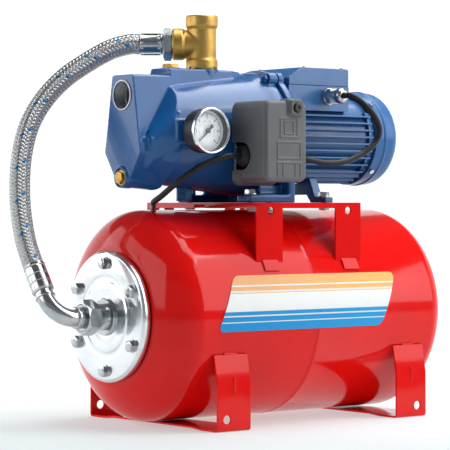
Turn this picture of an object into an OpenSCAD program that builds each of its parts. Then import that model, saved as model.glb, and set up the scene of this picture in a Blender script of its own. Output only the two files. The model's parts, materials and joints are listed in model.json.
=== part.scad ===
// Domestic water pressure set: a shallow well jet pump with its motor, bolted to the
// platform of a horizontal membrane tank, with tee, gauge, pressure switch and hose.
// Frame: +Z up, +X towards the motor's fan end, -Y the front with gauge and switch.
// The origin is on the floor, midway between the two feet, under the tank's axis.

/* [Tank] */
// Outer radius of the tank's cylinder
tank_r = 130; // [128:0.5:132]
// Height of the tank's axis above the floor
tank_z = 135; // [135:0.5:137]
// Front end of the tank's straight cylinder
tank_x_front = -185; // [-187:1:-184]
// Rear end of the tank's straight cylinder
tank_x_rear = 182; // [178:1:190]
// Depth of each domed head
head_depth = 58; // [57:0.5:59]
// Thickness of the tank's sheet steel
tank_wall = 1.5; // [1.2:0.1:2]
// Place of the weld seam between the two half shells
seam_x = -8.5; // [-20:0.5:20]

/* [Flange] */
// Outer radius of the flange
flange_r = 80; // [79:0.5:81]
// Pitch circle diameter of the flange bolts
flange_pcd = 131; // [129:0.5:133]
// Number of flange bolts
flange_bolt_count = 6; // [4:1:8]

/* [Feet and platform] */
// Distance of each foot from the middle of the tank
foot_x = 145; // [140:1:150]
// Width of a foot strap
foot_w = 51; // [49:1:54]
// Distance of a foot's upright from the tank's axis plane, outside
foot_y = 132; // [131.5:0.5:134]
// Height at which a foot's upright folds in to the tank
foot_fold_z = 57; // [50:1:62]
// Thickness of the folded sheet steel
sheet = 2.5; // [2:0.5:3]
// Radius of the floor fixing holes in the feet
foot_hole_r = 5.5; // [4.5:0.25:6.5]
// Height of the platform's top face
platform_z = 274; // [273.5:0.25:274.5]
// Front end of the platform
platform_x_front = -94.5; // [-98:0.5:-92]
// Rear end of the platform
platform_x_rear = 76; // [74:0.5:80]
// Half width of the platform
platform_y = 112; // [110:0.5:114]
// Width of a platform leg
leg_w = 42; // [38:1:44]

/* [Pump] */
// Height of the pump and motor axis
pump_z = 359; // [358.5:0.5:359.5]
// Place of the pump's front face
pump_x_front = -215; // [-216:0.5:-214]
// Height of the suction port
suction_z = 405.6; // [404:0.2:407]
// Radius of the one inch female threads
port_r = 16.6; // [16.2:0.1:17]
// Depth of the suction thread
suction_depth = 18; // [16:1:20]
// Place of the delivery tee along the pump
tee_x = -91.7; // [-93:0.1:-90]
// Top of the delivery tee
tee_top_z = 509; // [506:1:512]
// Height of the tee's side outlet
outlet_z = 473; // [471:1:475]
// Direction of the side outlet, measured from +X
outlet_angle = 141.5; // [140:0.5:143]

/* [Motor] */
// Radius of the motor frame's core
motor_r = 52; // [51:0.5:53]
// Reach of the cooling fins from the axis
fin_reach = 60; // [58:0.5:61]
// Spacing of the cooling fins
fin_pitch = 9; // [8.5:0.25:10]
// Length of the finned motor frame
motor_len = 150; // [148:1:152]
// Radius of the fan cover
cover_r = 62; // [61:0.5:63]
// End of the fan cover
cover_x_end = 196; // [194:1:200]

/* [Gauge and switch] */
// Radius of the gauge's case
gauge_r = 28; // [26:0.5:28.5]
// Place of the gauge along the pump
gauge_x = -150; // [-152:0.5:-148]
// Height of the gauge's centre
gauge_z = 361; // [360:0.5:362]
// Front face of the pressure switch cover
switch_y_front = -142; // [-144:0.5:-140]
// Height of the pressure switch's top
switch_top = 398; // [396:1:400]
// Height of the pressure switch's bottom
switch_bottom = 295; // [294:1:297]

/* [Hose and cords] */
// Radius of the braided hose
hose_r = 13; // [12.5:0.25:13]
// Radius of the electric cords
cord_r = 3.75; // [3.5:0.25:3.75]

/* [Hidden] */
$fn = 96;

paint_red = [0.83, 0.07, 0.05];
paint_blue = [0.07, 0.25, 0.55];
steel = [0.80, 0.81, 0.82];
brass = [0.80, 0.62, 0.28];
black = [0.07, 0.07, 0.08];
grey = [0.42, 0.43, 0.45];

cut = 1;
m8_r = 3.9;
m8_hole = 4.3;
m8_head_af = 13;
m8_head_h = 5.3;

// Flange stack at the tank's front, from the flange's face to the seat ring
flange_x = -241;
lip_x = -231;
seat_x = -229;
seat_back_x = -222;
seat_inner_r = 50;
seat_outer_x = tank_x_front - seat_x;
bead_h = 0.5;

// Pump casing along the axis
casing_x = [-190, -172, -21];
casing_r = [40, 62, 78];
casing_wall = 5;
casing_rim_r = 81;
casing_end_x = -10;
bracket_end_x = 0;
plate_back_x = -17;
shaft_r = 6;
bearing_r = 16;
front_bearing_x = 2;
rear_bearing_x = 138;
bearing_w = 10;
ear_angles = [32, 120, 240, 328];
ear_at = 84;
ear_r = 8.5;
ear_inset = 0.3;
bolt_hole_r = 3.2;
drain_z = 304.4;
port_ring_r = 19;
tee_seat_z = 441.4;

// Platform holes and feet holes
leg_x = [platform_x_front + leg_w / 2, platform_x_rear - leg_w / 2];
leg_hole_r = 5;
leg_hole_z = 264;
foot_hole_out = 10.7;
foot_hole_z = 14.4;

// Terminal box, sitting astride the motor frame
box_x = [9.4, 111];
box_y = 50;
box_z = 392;
lid_z = 424;
lid_top = 447;
gland_x = 75;
gland_z = 410.5;

// Pressure switch
switch_x = [-105, -39];
switch_y_back = -77.5;
notch_z = [313, 349];
notch_y = -115;
bush_y = -98;
bush_z = 331;
link_y = -104;
link_z = 332;
nipple_x = -72;
nipple_z = 332;
lever_x = -95;
lever_z = 343;
spring_at = [-66, -91];
spring_top = 369;

// Turn of the gauge needle from +X at no pressure
needle_rest = 135;

// Elbow and hose end at the tank
elbow_r = 30;
elbow_lean = 34.6;
pipe_r = 11;
pipe_bore_r = 8.5;
elbow_x = -286;
ferrule_r = 13.75;
ferrule_end = 45;
outlet_face = 36.6;
outlet_end = 78.4;

// Route of the hose, from the fitting at the tee to the fitting on the tank's elbow
hose_route = [
    [-153.2, 48.9, 473], [-163, 56.7, 473], [-183, 71, 466], [-209, 86, 449],
    [-236, 98, 428], [-260, 106, 401], [-280, 107, 370], [-294, 102, 335],
    [-304, 92, 299], [-311, 79, 264], [-315, 63, 229], [-316, 49.6, 206.9],
    [-316, 42.8, 197]
];

// Route of the link cord, from the motor's gland round to the pressure switch
link_route = [
    [75, -82.2, 410.5], [75, -91, 410.5], [75.5, -100, 408.5], [77.5, -108, 404],
    [82, -114, 397], [88, -118.5, 389], [94, -121, 380], [98, -122.5, 370],
    [97.5, -123, 360], [92, -122, 350.5], [83, -121, 342.5], [71, -119, 335],
    [48, -116, 326], [20, -112, 323.4], [-5, -107.5, 327], [-22, -104.5, 331],
    [-33.8, -104, 332]
];

// Route of the mains cord, from the switch under the pump and down behind the tank
mains_route = [
    [-110.2, -98, 331], [-119, -97, 331], [-131, -94, 329], [-146, -90, 324],
    [-161, -85, 317.5], [-173, -79, 309], [-183, -72, 300], [-190, -62, 290],
    [-194, -50, 281], [-193, -36, 275.5], [-184, -22, 273], [-172, -6, 272.5],
    [-158, 12, 271.5], [-146, 30, 268.5], [-135, 50, 262], [-126, 70, 251.5],
    [-119, 88, 238], [-113, 106, 220], [-108, 122, 196], [-105, 133, 170],
    [-103, 140, 144], [-101, 144, 118], [-99, 147, 92], [-95, 150, 66],
    [-88, 153, 42], [-76, 155, 23], [-58, 156, 10], [-36, 157, 4.5],
    [-12, 157, 4], [14, 157, 4], [40, 157, 4], [66, 157, 4], [92, 157, 4], [116, 157, 4],
    [138, 157, 4]
];

// Route of the cord's short end, from the coil up to the plug
plug_route = [
    [138, 239, 9], [127, 239, 11], [116, 239, 15], [104, 239, 18.7], [92.3, 239, 19]
];

// Floor coil of the mains cord and the plug at its end
coil_at = [140, 198];
coil_r = 41;
coil_rings = 2;
plug_at = [92, 239];
plug_z = 19;

// ---------------------------------------------------------------- helpers

function unit(v) = v / norm(v);

function route_tangent(route, i) =
    unit(route[min(i + 1, len(route) - 1)] - route[max(i - 1, 0)]);

// Side direction of each ring, carried along the route so that the tube never twists
function side_directions(route, i, side) =
    i >= len(route) ? [] :
    let (t = route_tangent(route, i), s = unit(side - (side * t) * t))
    concat([s], side_directions(route, i + 1, s));

// Closed tube swept along a route's own points
module swept_tube(route, r, sides) {
    side = side_directions(route, 0, [0.13, 0.29, 0.95]);
    last = len(route) - 1;
    points = [
        for (i = [0:last])
            let (t = route_tangent(route, i), b = cross(t, side[i]))
            for (k = [0:sides - 1])
                route[i] + r * (cos(360 * k / sides) * side[i] + sin(360 * k / sides) * b)
    ];
    walls = [
        for (i = [0:last - 1])
            for (k = [0:sides - 1])
                let (n = (k + 1) % sides, a = i * sides, b = a + sides)
                each [[a + k, b + n, a + n], [a + k, b + k, b + n]]
    ];
    start_cap = [for (k = [0:sides - 1]) k];
    end_cap = [for (k = [sides - 1:-1:0]) last * sides + k];
    polyhedron(points, concat(walls, [start_cap, end_cap]));
}

module rod_x(x0, x1, r) {
    translate([x0, 0, 0]) rotate([0, 90, 0]) cylinder(h = x1 - x0, r = r);
}

module rod_y(y0, y1, r) {
    translate([0, y1, 0]) rotate([90, 0, 0]) cylinder(h = y1 - y0, r = r);
}

module tube_x(x0, x1, r_out, r_in) {
    difference() {
        rod_x(x0, x1, r_out);
        rod_x(x0 - cut, x1 + cut, r_in);
    }
}

// Solid of revolution about the X axis from points [radius, x]
module turned_x(points) {
    rotate([0, 90, 0]) rotate_extrude() polygon(points);
}

module hex_prism(h, af) {
    cylinder(h = h, r = af / 2 / cos(30), $fn = 6);
}

module block(x, y, z) {
    translate([x[0], y[0], z[0]]) cube([x[1] - x[0], y[1] - y[0], z[1] - z[0]]);
}

// Plate in the YZ plane, extruded from x0 to x1
module plate_yz(x0, x1, points) {
    translate([x0, 0, 0]) rotate([90, 0, 90]) linear_extrude(x1 - x0) polygon(points);
}

// Plate in the XZ plane, extruded from y0 to y1
module plate_xz(y0, y1, points) {
    translate([0, y1, 0]) rotate([90, 0, 0]) linear_extrude(y1 - y0) polygon(points);
}

// Points on an arc, used to round the corners of an outline
function arc(centre, r, a0, a1, steps = 6) =
    [for (i = [0:steps]) let (a = a0 + (a1 - a0) * i / steps) centre + r * [cos(a), sin(a)]];

// Hexagon bolt with washer, head up, shank down, bearing face at z = 0
module bolt_down(shank_len) {
    translate([0, 0, 1.6]) hex_prism(m8_head_h, m8_head_af);
    cylinder(h = 1.6, r = 8);
    translate([0, 0, -shank_len]) cylinder(h = shank_len + 0.1, r = m8_r);
}

module on_pump_axis() {
    translate([0, 0, pump_z]) children();
}

module at_casing_bolts() {
    on_pump_axis() for (a = ear_angles)
        rotate([a, 0, 0]) translate([0, 0, ear_at]) children();
}

module on_tank_axis() {
    translate([0, 0, tank_z]) children();
}

// ---------------------------------------------------------------- tank

// Outline of a domed head as [radius, x], dome of the given direction and rim place
function head_points(r, depth, x_rim, direction, a0, a1, steps) =
    [for (i = [0:steps])
        let (a = a0 + (a1 - a0) * i / steps)
        [r * cos(a), x_rim + direction * depth * sin(a)]];

module tank_front_shell() {
    inner_r = tank_r - tank_wall;
    inner_depth = head_depth - tank_wall;
    end_angle = asin(seat_outer_x / head_depth);
    inner_angle = asin((tank_x_front - seat_back_x) / inner_depth);
    color(paint_red) on_tank_axis() difference() {
        union() {
            turned_x(concat(
                [[inner_r, seam_x], [tank_r, seam_x]],
                head_points(tank_r, head_depth, tank_x_front, -1, 0, end_angle, 12),
                [[seat_inner_r, seat_x], [seat_inner_r, seat_back_x]],
                head_points(inner_r, inner_depth, tank_x_front, -1, inner_angle, 0, 12)
            ));
            turned_x([[tank_r - 0.5, seam_x - 3], [tank_r + bead_h, seam_x - 2],
                      [tank_r + bead_h, seam_x], [tank_r - 0.5, seam_x]]);
        }
        for (i = [0:flange_bolt_count - 1])
            rotate([i * 360 / flange_bolt_count, 0, 0])
                translate([0, 0, flange_pcd / 2]) rod_x(seat_x - cut, seat_back_x + cut, m8_r + 0.05);
    }
}

module tank_rear_shell() {
    inner_r = tank_r - tank_wall;
    inner_depth = head_depth - tank_wall;
    color(paint_red) on_tank_axis() difference() {
        turned_x(concat(
            [[inner_r, seam_x], [tank_r, seam_x]],
            head_points(tank_r, head_depth, tank_x_rear, 1, 0, 90, 24),
            head_points(inner_r, inner_depth, tank_x_rear, 1, 90, 0, 24)
        ));
        rod_x(tank_x_rear, tank_x_rear + head_depth + cut, 5.1);
    }
}

module tank_membrane() {
    thick = 2;
    color(black) on_tank_axis() difference() {
        turned_x([
            [79, lip_x], [79, seat_x], [seat_inner_r - 0.4, seat_x], [49.6, -218],
            [90, -205], [118, -180], [122, -160], [122, 150], [110, 190], [80, 212],
            [30, 222], [0, 223], [0, 223 - thick], [30, 220], [79, 210.2], [108.4, 188.8],
            [122 - thick, 149.6], [122 - thick, -160], [116.2, -179], [89, -203],
            [47.6, -216.6], [47.6, lip_x]
        ]);
        for (i = [0:flange_bolt_count - 1])
            rotate([i * 360 / flange_bolt_count, 0, 0])
                translate([0, 0, flange_pcd / 2]) rod_x(lip_x - cut, seat_x + cut, m8_hole);
    }
}

module tank_flange() {
    face = flange_x;
    back = flange_x + 3.5;
    color(steel) on_tank_axis() difference() {
        turned_x([
            [17.2, face], [44.5, face], [45.5, face + 1], [47.5, face + 1], [48.5, face],
            [flange_r - 3, face], [flange_r - 0.9, face + 0.9], [flange_r, face + 3],
            [flange_r, lip_x], [flange_r - 3, lip_x], [flange_r - 3, back],
            [58, back], [58, lip_x], [seat_inner_r, lip_x], [seat_inner_r, back],
            [17.2, back]
        ]);
        for (i = [0:flange_bolt_count - 1])
            rotate([i * 360 / flange_bolt_count, 0, 0])
                translate([0, 0, flange_pcd / 2]) rod_x(face - cut, back + cut, m8_hole);
    }
}

module flange_bolts() {
    color(steel) on_tank_axis()
        for (i = [0:flange_bolt_count - 1])
            rotate([i * 360 / flange_bolt_count, 0, 0])
                translate([flange_x, 0, flange_pcd / 2])
                    rotate([0, -90, 0]) bolt_down(18.5);
}

// Threaded nipple clamped in the flange's centre by its collar and lock nut
module flange_nipple() {
    back = flange_x + 3.5;
    color(steel) on_tank_axis()
        turned_x([
            [12.5, -270], [16.4, -270], [16.4, flange_x - 3], [22, flange_x - 3],
            [23, flange_x - 2], [23, flange_x], [17, flange_x], [17, back], [23, back],
            [23, back + 4], [12.5, back + 4]
        ]);
}

module air_valve() {
    apex = tank_x_rear + head_depth;
    color(brass) on_tank_axis()
        turned_x([
            [1.2, apex - 5], [5, apex - 5], [5, apex + 0.1], [12, apex + 0.1],
            [12, apex + 3], [4.6, apex + 3], [4.6, apex + 16], [1.2, apex + 16]
        ]);
}

module valve_cap() {
    apex = tank_x_rear + head_depth;
    color(black) on_tank_axis()
        turned_x([
            [4.7, apex + 3.2], [8.5, apex + 3.2], [9, apex + 4], [9, apex + 18],
            [8, apex + 19.5], [0, apex + 19.5], [0, apex + 16.3], [4.7, apex + 16.3]
        ]);
}

// Folded strap under the tank: flat ends, raised middle, uprights and sloping flaps
module foot() {
    top_z = 92;
    top_y = 125.2;
    raise = 1.8;
    bend = 4;
    outline = concat(
        [[-80, raise], [-100, 0]],
        arc([-foot_y + bend, bend], bend, 270, 180),
        [[-foot_y, foot_fold_z], [-top_y, top_z], [-top_y + sheet * 0.95, top_z - 0.7],
         [-foot_y + sheet, foot_fold_z - 0.3]],
        arc([-foot_y + bend, bend], bend - sheet, 180, 270),
        [[-100, sheet], [-80, sheet + raise]],
        [[80, sheet + raise], [100, sheet]],
        arc([foot_y - bend, bend], bend - sheet, 270, 360),
        [[foot_y - sheet, foot_fold_z - 0.3], [top_y - sheet * 0.95, top_z - 0.7],
         [top_y, top_z], [foot_y, foot_fold_z]],
        arc([foot_y - bend, bend], bend, 360, 270),
        [[100, 0], [80, raise]]
    );
    difference() {
        plate_yz(-foot_w / 2, foot_w / 2, outline);
        on_tank_axis() rod_x(-foot_w, foot_w, tank_r + 0.15);
    }
}

module foot_left() {
    color(paint_red) difference() {
        translate([-foot_x, 0, 0]) foot();
        translate([-foot_x - foot_hole_out, 0, foot_hole_z])
            rod_y(-foot_y - cut, foot_y + cut, foot_hole_r);
    }
}

module foot_right() {
    color(paint_red) difference() {
        translate([foot_x, 0, 0]) foot();
        translate([foot_x + foot_hole_out, 0, foot_hole_z])
            rod_y(-foot_y - cut, foot_y + cut, foot_hole_r);
    }
}

pump_bolt_x = -63;
pump_bolt_y = 62;
motor_bolt_x = 63.5;
motor_bolt_y = 55;

// Sheet platform: top plate, folded lips and four legs that stand on the tank
module platform() {
    lip = 7;
    leg_bottom = 196;
    under = platform_z - sheet;
    color(paint_red) difference() {
        union() {
            block([platform_x_front, platform_x_rear], [-platform_y, platform_y],
                  [under, platform_z]);
            for (side = [-1, 1]) {
                y = side > 0 ? [platform_y - sheet, platform_y] : [-platform_y, -platform_y + sheet];
                block([platform_x_front, platform_x_rear], y, [platform_z - lip, platform_z]);
                for (x = leg_x) {
                    block([x - leg_w / 2, x + leg_w / 2], y, [leg_bottom, platform_z]);
                    intersection() {
                        on_tank_axis() tube_x(x - 12, x + 12, tank_r + 2, tank_r);
                        block([x - 12, x + 12], side > 0 ? [100, 120] : [-120, -100],
                              [leg_bottom - 5, leg_bottom + 8]);
                    }
                }
            }
            for (y = [[-platform_y, -10], [12, platform_y]])
                block([platform_x_front, platform_x_front + sheet], y,
                      [platform_z - lip, platform_z]);
        }
        on_tank_axis() rod_x(platform_x_front - cut, platform_x_rear + cut, tank_r + 0.15);
        for (x = [leg_x[0] + 2, leg_x[1]])
            translate([x, 0, leg_hole_z]) rod_y(-platform_y - cut, platform_y + cut, leg_hole_r);
        for (side = [-1, 1]) {
            translate([pump_bolt_x, side * pump_bolt_y, under - cut])
                cylinder(h = sheet + 2 * cut, r = m8_hole);
            translate([motor_bolt_x, side * motor_bolt_y, under - cut])
                cylinder(h = sheet + 2 * cut, r = m8_hole);
        }
    }
}

// Sticker on the tank's front: a slanted outline with rounded corners, wrapped round
module tank_label() {
    bottom = 119;
    top = 186;
    slant = 30;
    x_left = -168;
    x_right = 95;
    corner = 9;
    thick = 0.4;
    lift = bead_h + 0.05;
    outline = concat(
        arc([x_left + 13, bottom + corner], corner, 270, 155),
        arc([x_left + slant + 6, top - corner], corner, 155, 90),
        arc([x_right + slant - 13, top - corner], corner, 90, -25),
        arc([x_right - 6, bottom + corner], corner, -25, -90)
    );
    color([0.93, 0.93, 0.9]) intersection() {
        plate_xz(-tank_r - 5, -tank_r / 2, outline);
        on_tank_axis() tube_x(x_left - 20, x_right + 40, tank_r + lift + thick, tank_r + lift);
    }
}

// ---------------------------------------------------------------- pump

// Outline of the casing's front face: crowned top, waisted sides, round drain boss
function front_outline(grow) = concat(
    arc([0, 390], 41 + grow, 62, 118, 6),
    arc([-31, 342], 7 + grow, 170, 215, 3),
    arc([-7, 306], 12 + grow, 190, 265, 4),
    arc([7, 306], 12 + grow, 275, 350, 4),
    arc([31, 342], 7 + grow, 325, 370, 3)
);

module casing_outside() {
    on_pump_axis()
        turned_x([
            [0, casing_x[0]], [casing_r[0], casing_x[0]], [54, -183], [casing_r[1], casing_x[1]],
            [casing_r[2], casing_x[2]], [casing_rim_r, casing_x[2]],
            [casing_rim_r, casing_end_x], [0, casing_end_x]
        ]);
    // front housing with the suction port
    plate_yz(pump_x_front, -196, front_outline(0));
    hull() {
        plate_yz(-197, -196, front_outline(0));
        plate_yz(-166, -165, front_outline(-4));
    }
    // water channel along the top, low at the front and higher at the plugs
    hull() {
        block([-200, -199], [-21, 21], [400, 426]);
        block([-156, -155], [-21, 21], [400, 430]);
    }
    block([-157, -72], [-21, 21], [400, 440.5]);
    block([-73, -24], [-17, 17], [400, 438]);
    // slanted shoulders from the front housing up to the channel
    hull() {
        block([-180, -179], [-26, 26], [360, 412]);
        block([-75, -74], [-40, 40], [380, 424]);
    }
    // bosses for the two top plugs, the gauge, the switch and the lower drain
    translate([-141, 0, 420]) cylinder(h = 21, r = 15);
    translate([tee_x, 0, 420]) cylinder(h = tee_seat_z - 420, r = 22);
    translate([gauge_x, 0, gauge_z]) rod_y(-66, -40, 11);
    translate([nipple_x, 0, nipple_z]) rod_y(-70.5, -50, 11);
    translate([-120, 0, 276]) hex_prism(20, 19);
    // ears for the casing bolts
    at_casing_bolts() rod_x(-24, casing_end_x - ear_inset, ear_r);
}

module casing_inside() {
    on_pump_axis() {
        turned_x([
            [0, -168], [46, -168], [56, -160], [casing_r[2] - casing_wall, casing_x[2]],
            [70.2, casing_x[2]], [70.2, casing_end_x + cut], [0, casing_end_x + cut]
        ]);
        rod_x(-206, -167, 15.2);
    }
    // suction port, its thread and the passage down to the nozzle
    translate([0, 0, suction_z]) {
        rod_x(pump_x_front - 3, pump_x_front + suction_depth, port_r);
        rod_x(pump_x_front, -192, 13);
    }
    translate([-199, 0, pump_z]) cylinder(h = suction_z - pump_z, r = 11);
    // delivery, priming and drain threads
    translate([tee_x, 0, 420]) cylinder(h = 30, r = port_r);
    translate([tee_x, 0, pump_z]) cylinder(h = 70, r = 12);
    translate([-141, 0, pump_z + 40]) cylinder(h = 60, r = 9);
    translate([0, 0, drain_z]) rod_x(pump_x_front - cut, -196, 6.6);
    translate([gauge_x, 0, gauge_z]) rod_y(-70, -45, 6.6);
    translate([nipple_x, 0, nipple_z]) rod_y(-75, -50, 6.6);
}

module pump_body() {
    color(paint_blue) difference() {
        union() {
            casing_outside();
            translate([0, 0, suction_z]) rod_x(pump_x_front - 1.5, pump_x_front + 2, port_ring_r);
        }
        casing_inside();
        at_casing_bolts() rod_x(-30, 0, bolt_hole_r);
    }
}

module priming_plug() {
    color(brass) translate([-141, 0, 0]) {
        translate([0, 0, 441.2]) cylinder(h = 0.8, r = 11.5);
        translate([0, 0, 441.9]) hex_prism(4.6, 19);
        translate([0, 0, 426]) cylinder(h = 15.3, r = 8.95);
    }
}

module drain_plug() {
    color(brass) translate([0, 0, drain_z]) {
        rod_x(pump_x_front - 2.2, pump_x_front - 0.2, 9.5);
        translate([pump_x_front - 9, 0, 0]) rotate([0, 90, 0]) hex_prism(7, 14);
        rod_x(pump_x_front - 0.3, pump_x_front + 14, 6.55);
    }
}

// Nozzle that drives the jet, seated in the wall ahead of the mixing chamber
module ejector_nozzle() {
    color(brass) on_pump_axis()
        turned_x([
            [9, -192], [15.15, -192], [15.15, -167.9], [20, -167.9], [20, -162], [9, -162],
            [5.5, -150], [3.6, -150], [6.5, -168], [6.5, -192]
        ]);
}

module venturi_tube() {
    color(black) on_pump_axis()
        turned_x([
            [8.5, -146], [13, -146], [11, -130], [12, -90], [18, -68.2], [15, -68.2],
            [8, -95], [6, -125], [6.2, -136]
        ]);
}

// Stage diffuser: front wall with the eye, guide vanes and an outer ring
module diffuser() {
    color([0.2, 0.2, 0.22]) on_pump_axis() {
        turned_x([[15, -68], [64.5, -68], [64.5, -26], [62, -26], [62, -63], [15, -63]]);
        for (a = [0:60:300])
            rotate([a, 0, 0]) block([-63.1, -57], [-1.5, 1.5], [40, 61]);
    }
}

module impeller() {
    color(brass) on_pump_axis() {
        difference() {
            union() {
                rod_x(-42, -39, 58);
                rod_x(-56, -39, 11);
            }
            rod_x(-60, -30, shaft_r + 0.02);
        }
        for (a = [0:60:300])
            rotate([a, 0, 0]) translate([0, 9, 0]) rotate([25, 0, 0])
                block([-53, -41.9], [0, 44], [-1, 1]);
        tube_x(-54.5, -52.5, 57, 16);
    }
}

module seal_rotor() {
    color([0.25, 0.25, 0.27]) on_pump_axis() tube_x(-38.8, -25.3, 12.5, shaft_r + 0.02);
}

module seal_seat() {
    color([0.85, 0.85, 0.82]) on_pump_axis() tube_x(-25, plate_back_x + 7.9, 15, shaft_r + 0.4);
}

module motor_shaft() {
    color(steel) on_pump_axis() rod_x(-60, 176, shaft_r);
}

// Cast bracket between pump and motor, with the bearing hub and two bolted feet
module motor_bracket() {
    color(paint_blue) difference() {
        union() {
            on_pump_axis() {
                rod_x(casing_end_x, bracket_end_x, 84);
                rod_x(plate_back_x, casing_end_x + 0.1, 70);
                rod_x(bracket_end_x - 0.1, front_bearing_x + bearing_w, 21);
            }
            at_casing_bolts() rod_x(casing_end_x + ear_inset, bracket_end_x - ear_inset, ear_r);
            block([casing_end_x, bracket_end_x], [-74, 74], [platform_z + 0.1, 320]);
            for (side = [-1, 1]) mirror([0, side > 0 ? 0 : 1, 0]) {
                block([-74, bracket_end_x], [48, 74], [platform_z + 0.1, 284]);
                block([-45, casing_end_x + 1], [53, 58], [283, 296]);
            }
        }
        on_pump_axis() {
            rod_x(-40, front_bearing_x, shaft_r + 2.5);
            rod_x(-40, -9.1, 15.05);
            rod_x(front_bearing_x, front_bearing_x + 20, bearing_r + 0.02);
        }
        at_casing_bolts() rod_x(-30, 10, bolt_hole_r);
        for (side = [-1, 1])
            translate([pump_bolt_x, side * pump_bolt_y, 270]) cylinder(h = 20, r = m8_hole);
    }
}

module casing_bolts() {
    color(steel) at_casing_bolts() {
        rod_x(-24.2, -0.5, bolt_hole_r - 0.1);
        translate([-29, 0, 0]) rotate([0, 90, 0]) hex_prism(4.9, 10);
    }
}

// ---------------------------------------------------------------- motor

module bearing_outer_rings() {
    color(steel) on_pump_axis() for (x = [front_bearing_x, rear_bearing_x])
        tube_x(x, x + bearing_w, bearing_r, 12.6);
}

module bearing_inner_rings() {
    color(steel) on_pump_axis() for (x = [front_bearing_x, rear_bearing_x])
        tube_x(x, x + bearing_w, 9.4, shaft_r + 0.01);
}

// Motor housing with level cooling fins that stop under the terminal box
module motor_frame() {
    bore = 46.5;
    fin = 2;
    color(paint_blue) on_pump_axis() difference() {
        union() {
            rod_x(0.1, motor_len, motor_r);
            rod_x(motor_len - 8, motor_len, 56);
            rod_x(0.1, 6, 56);
            for (z = [-5 * fin_pitch:fin_pitch:3 * fin_pitch]) {
                w = sqrt(fin_reach * fin_reach - z * z);
                block([4, motor_len - 4], [-w, w], [z - fin / 2, z + fin / 2]);
            }
            for (y = [-30:10:30]) {
                d = sqrt(fin_reach * fin_reach - y * y);
                block([4, motor_len - 4], [y - fin / 2, y + fin / 2], [-d, 0]);
            }
        }
        rod_x(-cut, motor_len + cut, bore);
        block([box_x[0] - 1, box_x[1] + 1], [-box_y - 1, box_y + 1], [32.4, 70]);
        block([-cut, motor_len + cut], [-54.5, 54.5], [32.4, 70]);
    }
    color(paint_blue) on_pump_axis() difference() {
        rod_x(6, motor_len, motor_r);
        rod_x(-cut, motor_len + cut, bore);
        block([-cut, motor_len + 2 * cut], [-70, 70], [-70, 30]);
    }
}

module stator_core() {
    color([0.55, 0.55, 0.57]) on_pump_axis() difference() {
        tube_x(38, 108, 46.4, 27);
        for (a = [0:30:330])
            rotate([a, 0, 0]) block([37, 109], [-2.2, 2.2], [25, 40]);
    }
}

module stator_windings() {
    color([0.72, 0.38, 0.18]) on_pump_axis() {
        tube_x(22, 37.8, 42, 29);
        tube_x(108.2, 124, 42, 29);
        for (a = [0:30:330])
            rotate([a, 0, 0]) block([37, 109], [-2, 2], [29.5, 39.5]);
    }
}

module rotor_core() {
    color([0.6, 0.6, 0.62]) on_pump_axis() {
        tube_x(38, 108, 26.5, shaft_r + 0.01);
        for (x = [[32, 38.1], [107.9, 114]])
            tube_x(x[0], x[1], 24, 15);
    }
}

module rear_end_shield() {
    color([0.66, 0.67, 0.69]) on_pump_axis() difference() {
        union() {
            rod_x(142, 148, 46.4);
            rod_x(rear_bearing_x - 1, 150, 21);
            rod_x(147.9, 150.2, 30);
        }
        rod_x(100, rear_bearing_x + bearing_w, bearing_r + 0.02);
        rod_x(100, 160, shaft_r + 0.5);
    }
}

module cooling_fan() {
    color(black) on_pump_axis() {
        difference() {
            union() {
                rod_x(155, 176, 11);
                rod_x(155, 157.5, 50);
            }
            rod_x(150, 180, shaft_r + 0.02);
        }
        for (a = [0:45:315])
            rotate([a, 0, 0]) block([157.4, 174], [-1, 1], [10, 50]);
    }
}

// Fan cover: cup with a stepped collar, rounded end and a ring of air slots
module fan_cover() {
    wall = 1.6;
    x0 = 150.3;
    color(paint_blue) on_pump_axis() difference() {
        turned_x([
            [56.3, x0], [cover_r - 0.6, x0], [cover_r - 0.6, 164], [cover_r + 0.6, 165],
            [cover_r + 0.6, 167], [cover_r - 0.6, 168], [cover_r - 0.6, 178],
            [cover_r - 3, 186], [cover_r - 10, 192], [cover_r - 22, 195], [0, cover_x_end],
            [0, cover_x_end - wall], [cover_r - 22, 195 - wall], [cover_r - 11, 192 - wall],
            [cover_r - 5, 185], [cover_r - 0.6 - wall, 177], [cover_r - 0.6 - wall, x0 + 3],
            [56.3, x0 + 3]
        ]);
        for (a = [0:15:345])
            rotate([a, 0, 0]) block([188, 200], [-1.7, 1.7], [19, 44]);
    }
}

module cover_screws() {
    color(steel) {
        on_pump_axis() for (a = [45:90:315])
            rotate([a, 0, 0]) translate([156, 0, cover_r - 0.5]) cylinder(h = 2.2, r = 3.4);
        for (x = [box_x[0] + 30, box_x[1] - 8], y = [-44, 44])
            translate([x, y, lid_top + 0.05]) cylinder(h = 1.6, r = 2.8);
    }
}

// Bridge-shaped rear foot that carries the motor on the platform
module motor_foot() {
    top_z = 306;
    color(paint_blue) difference() {
        plate_yz(57, 70, [
            [-66, platform_z + 0.1], [-36, platform_z + 0.1], [-28, 284], [28, 284],
            [36, platform_z + 0.1], [66, platform_z + 0.1], [66, 281], [45, 281],
            [34, top_z], [-34, top_z], [-45, 281], [-66, 281]
        ]);
        on_pump_axis() rod_x(50, 80, fin_reach + 0.8);
        for (side = [-1, 1])
            translate([motor_bolt_x, side * motor_bolt_y, 270]) cylinder(h = 20, r = m8_hole);
    }
}

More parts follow.
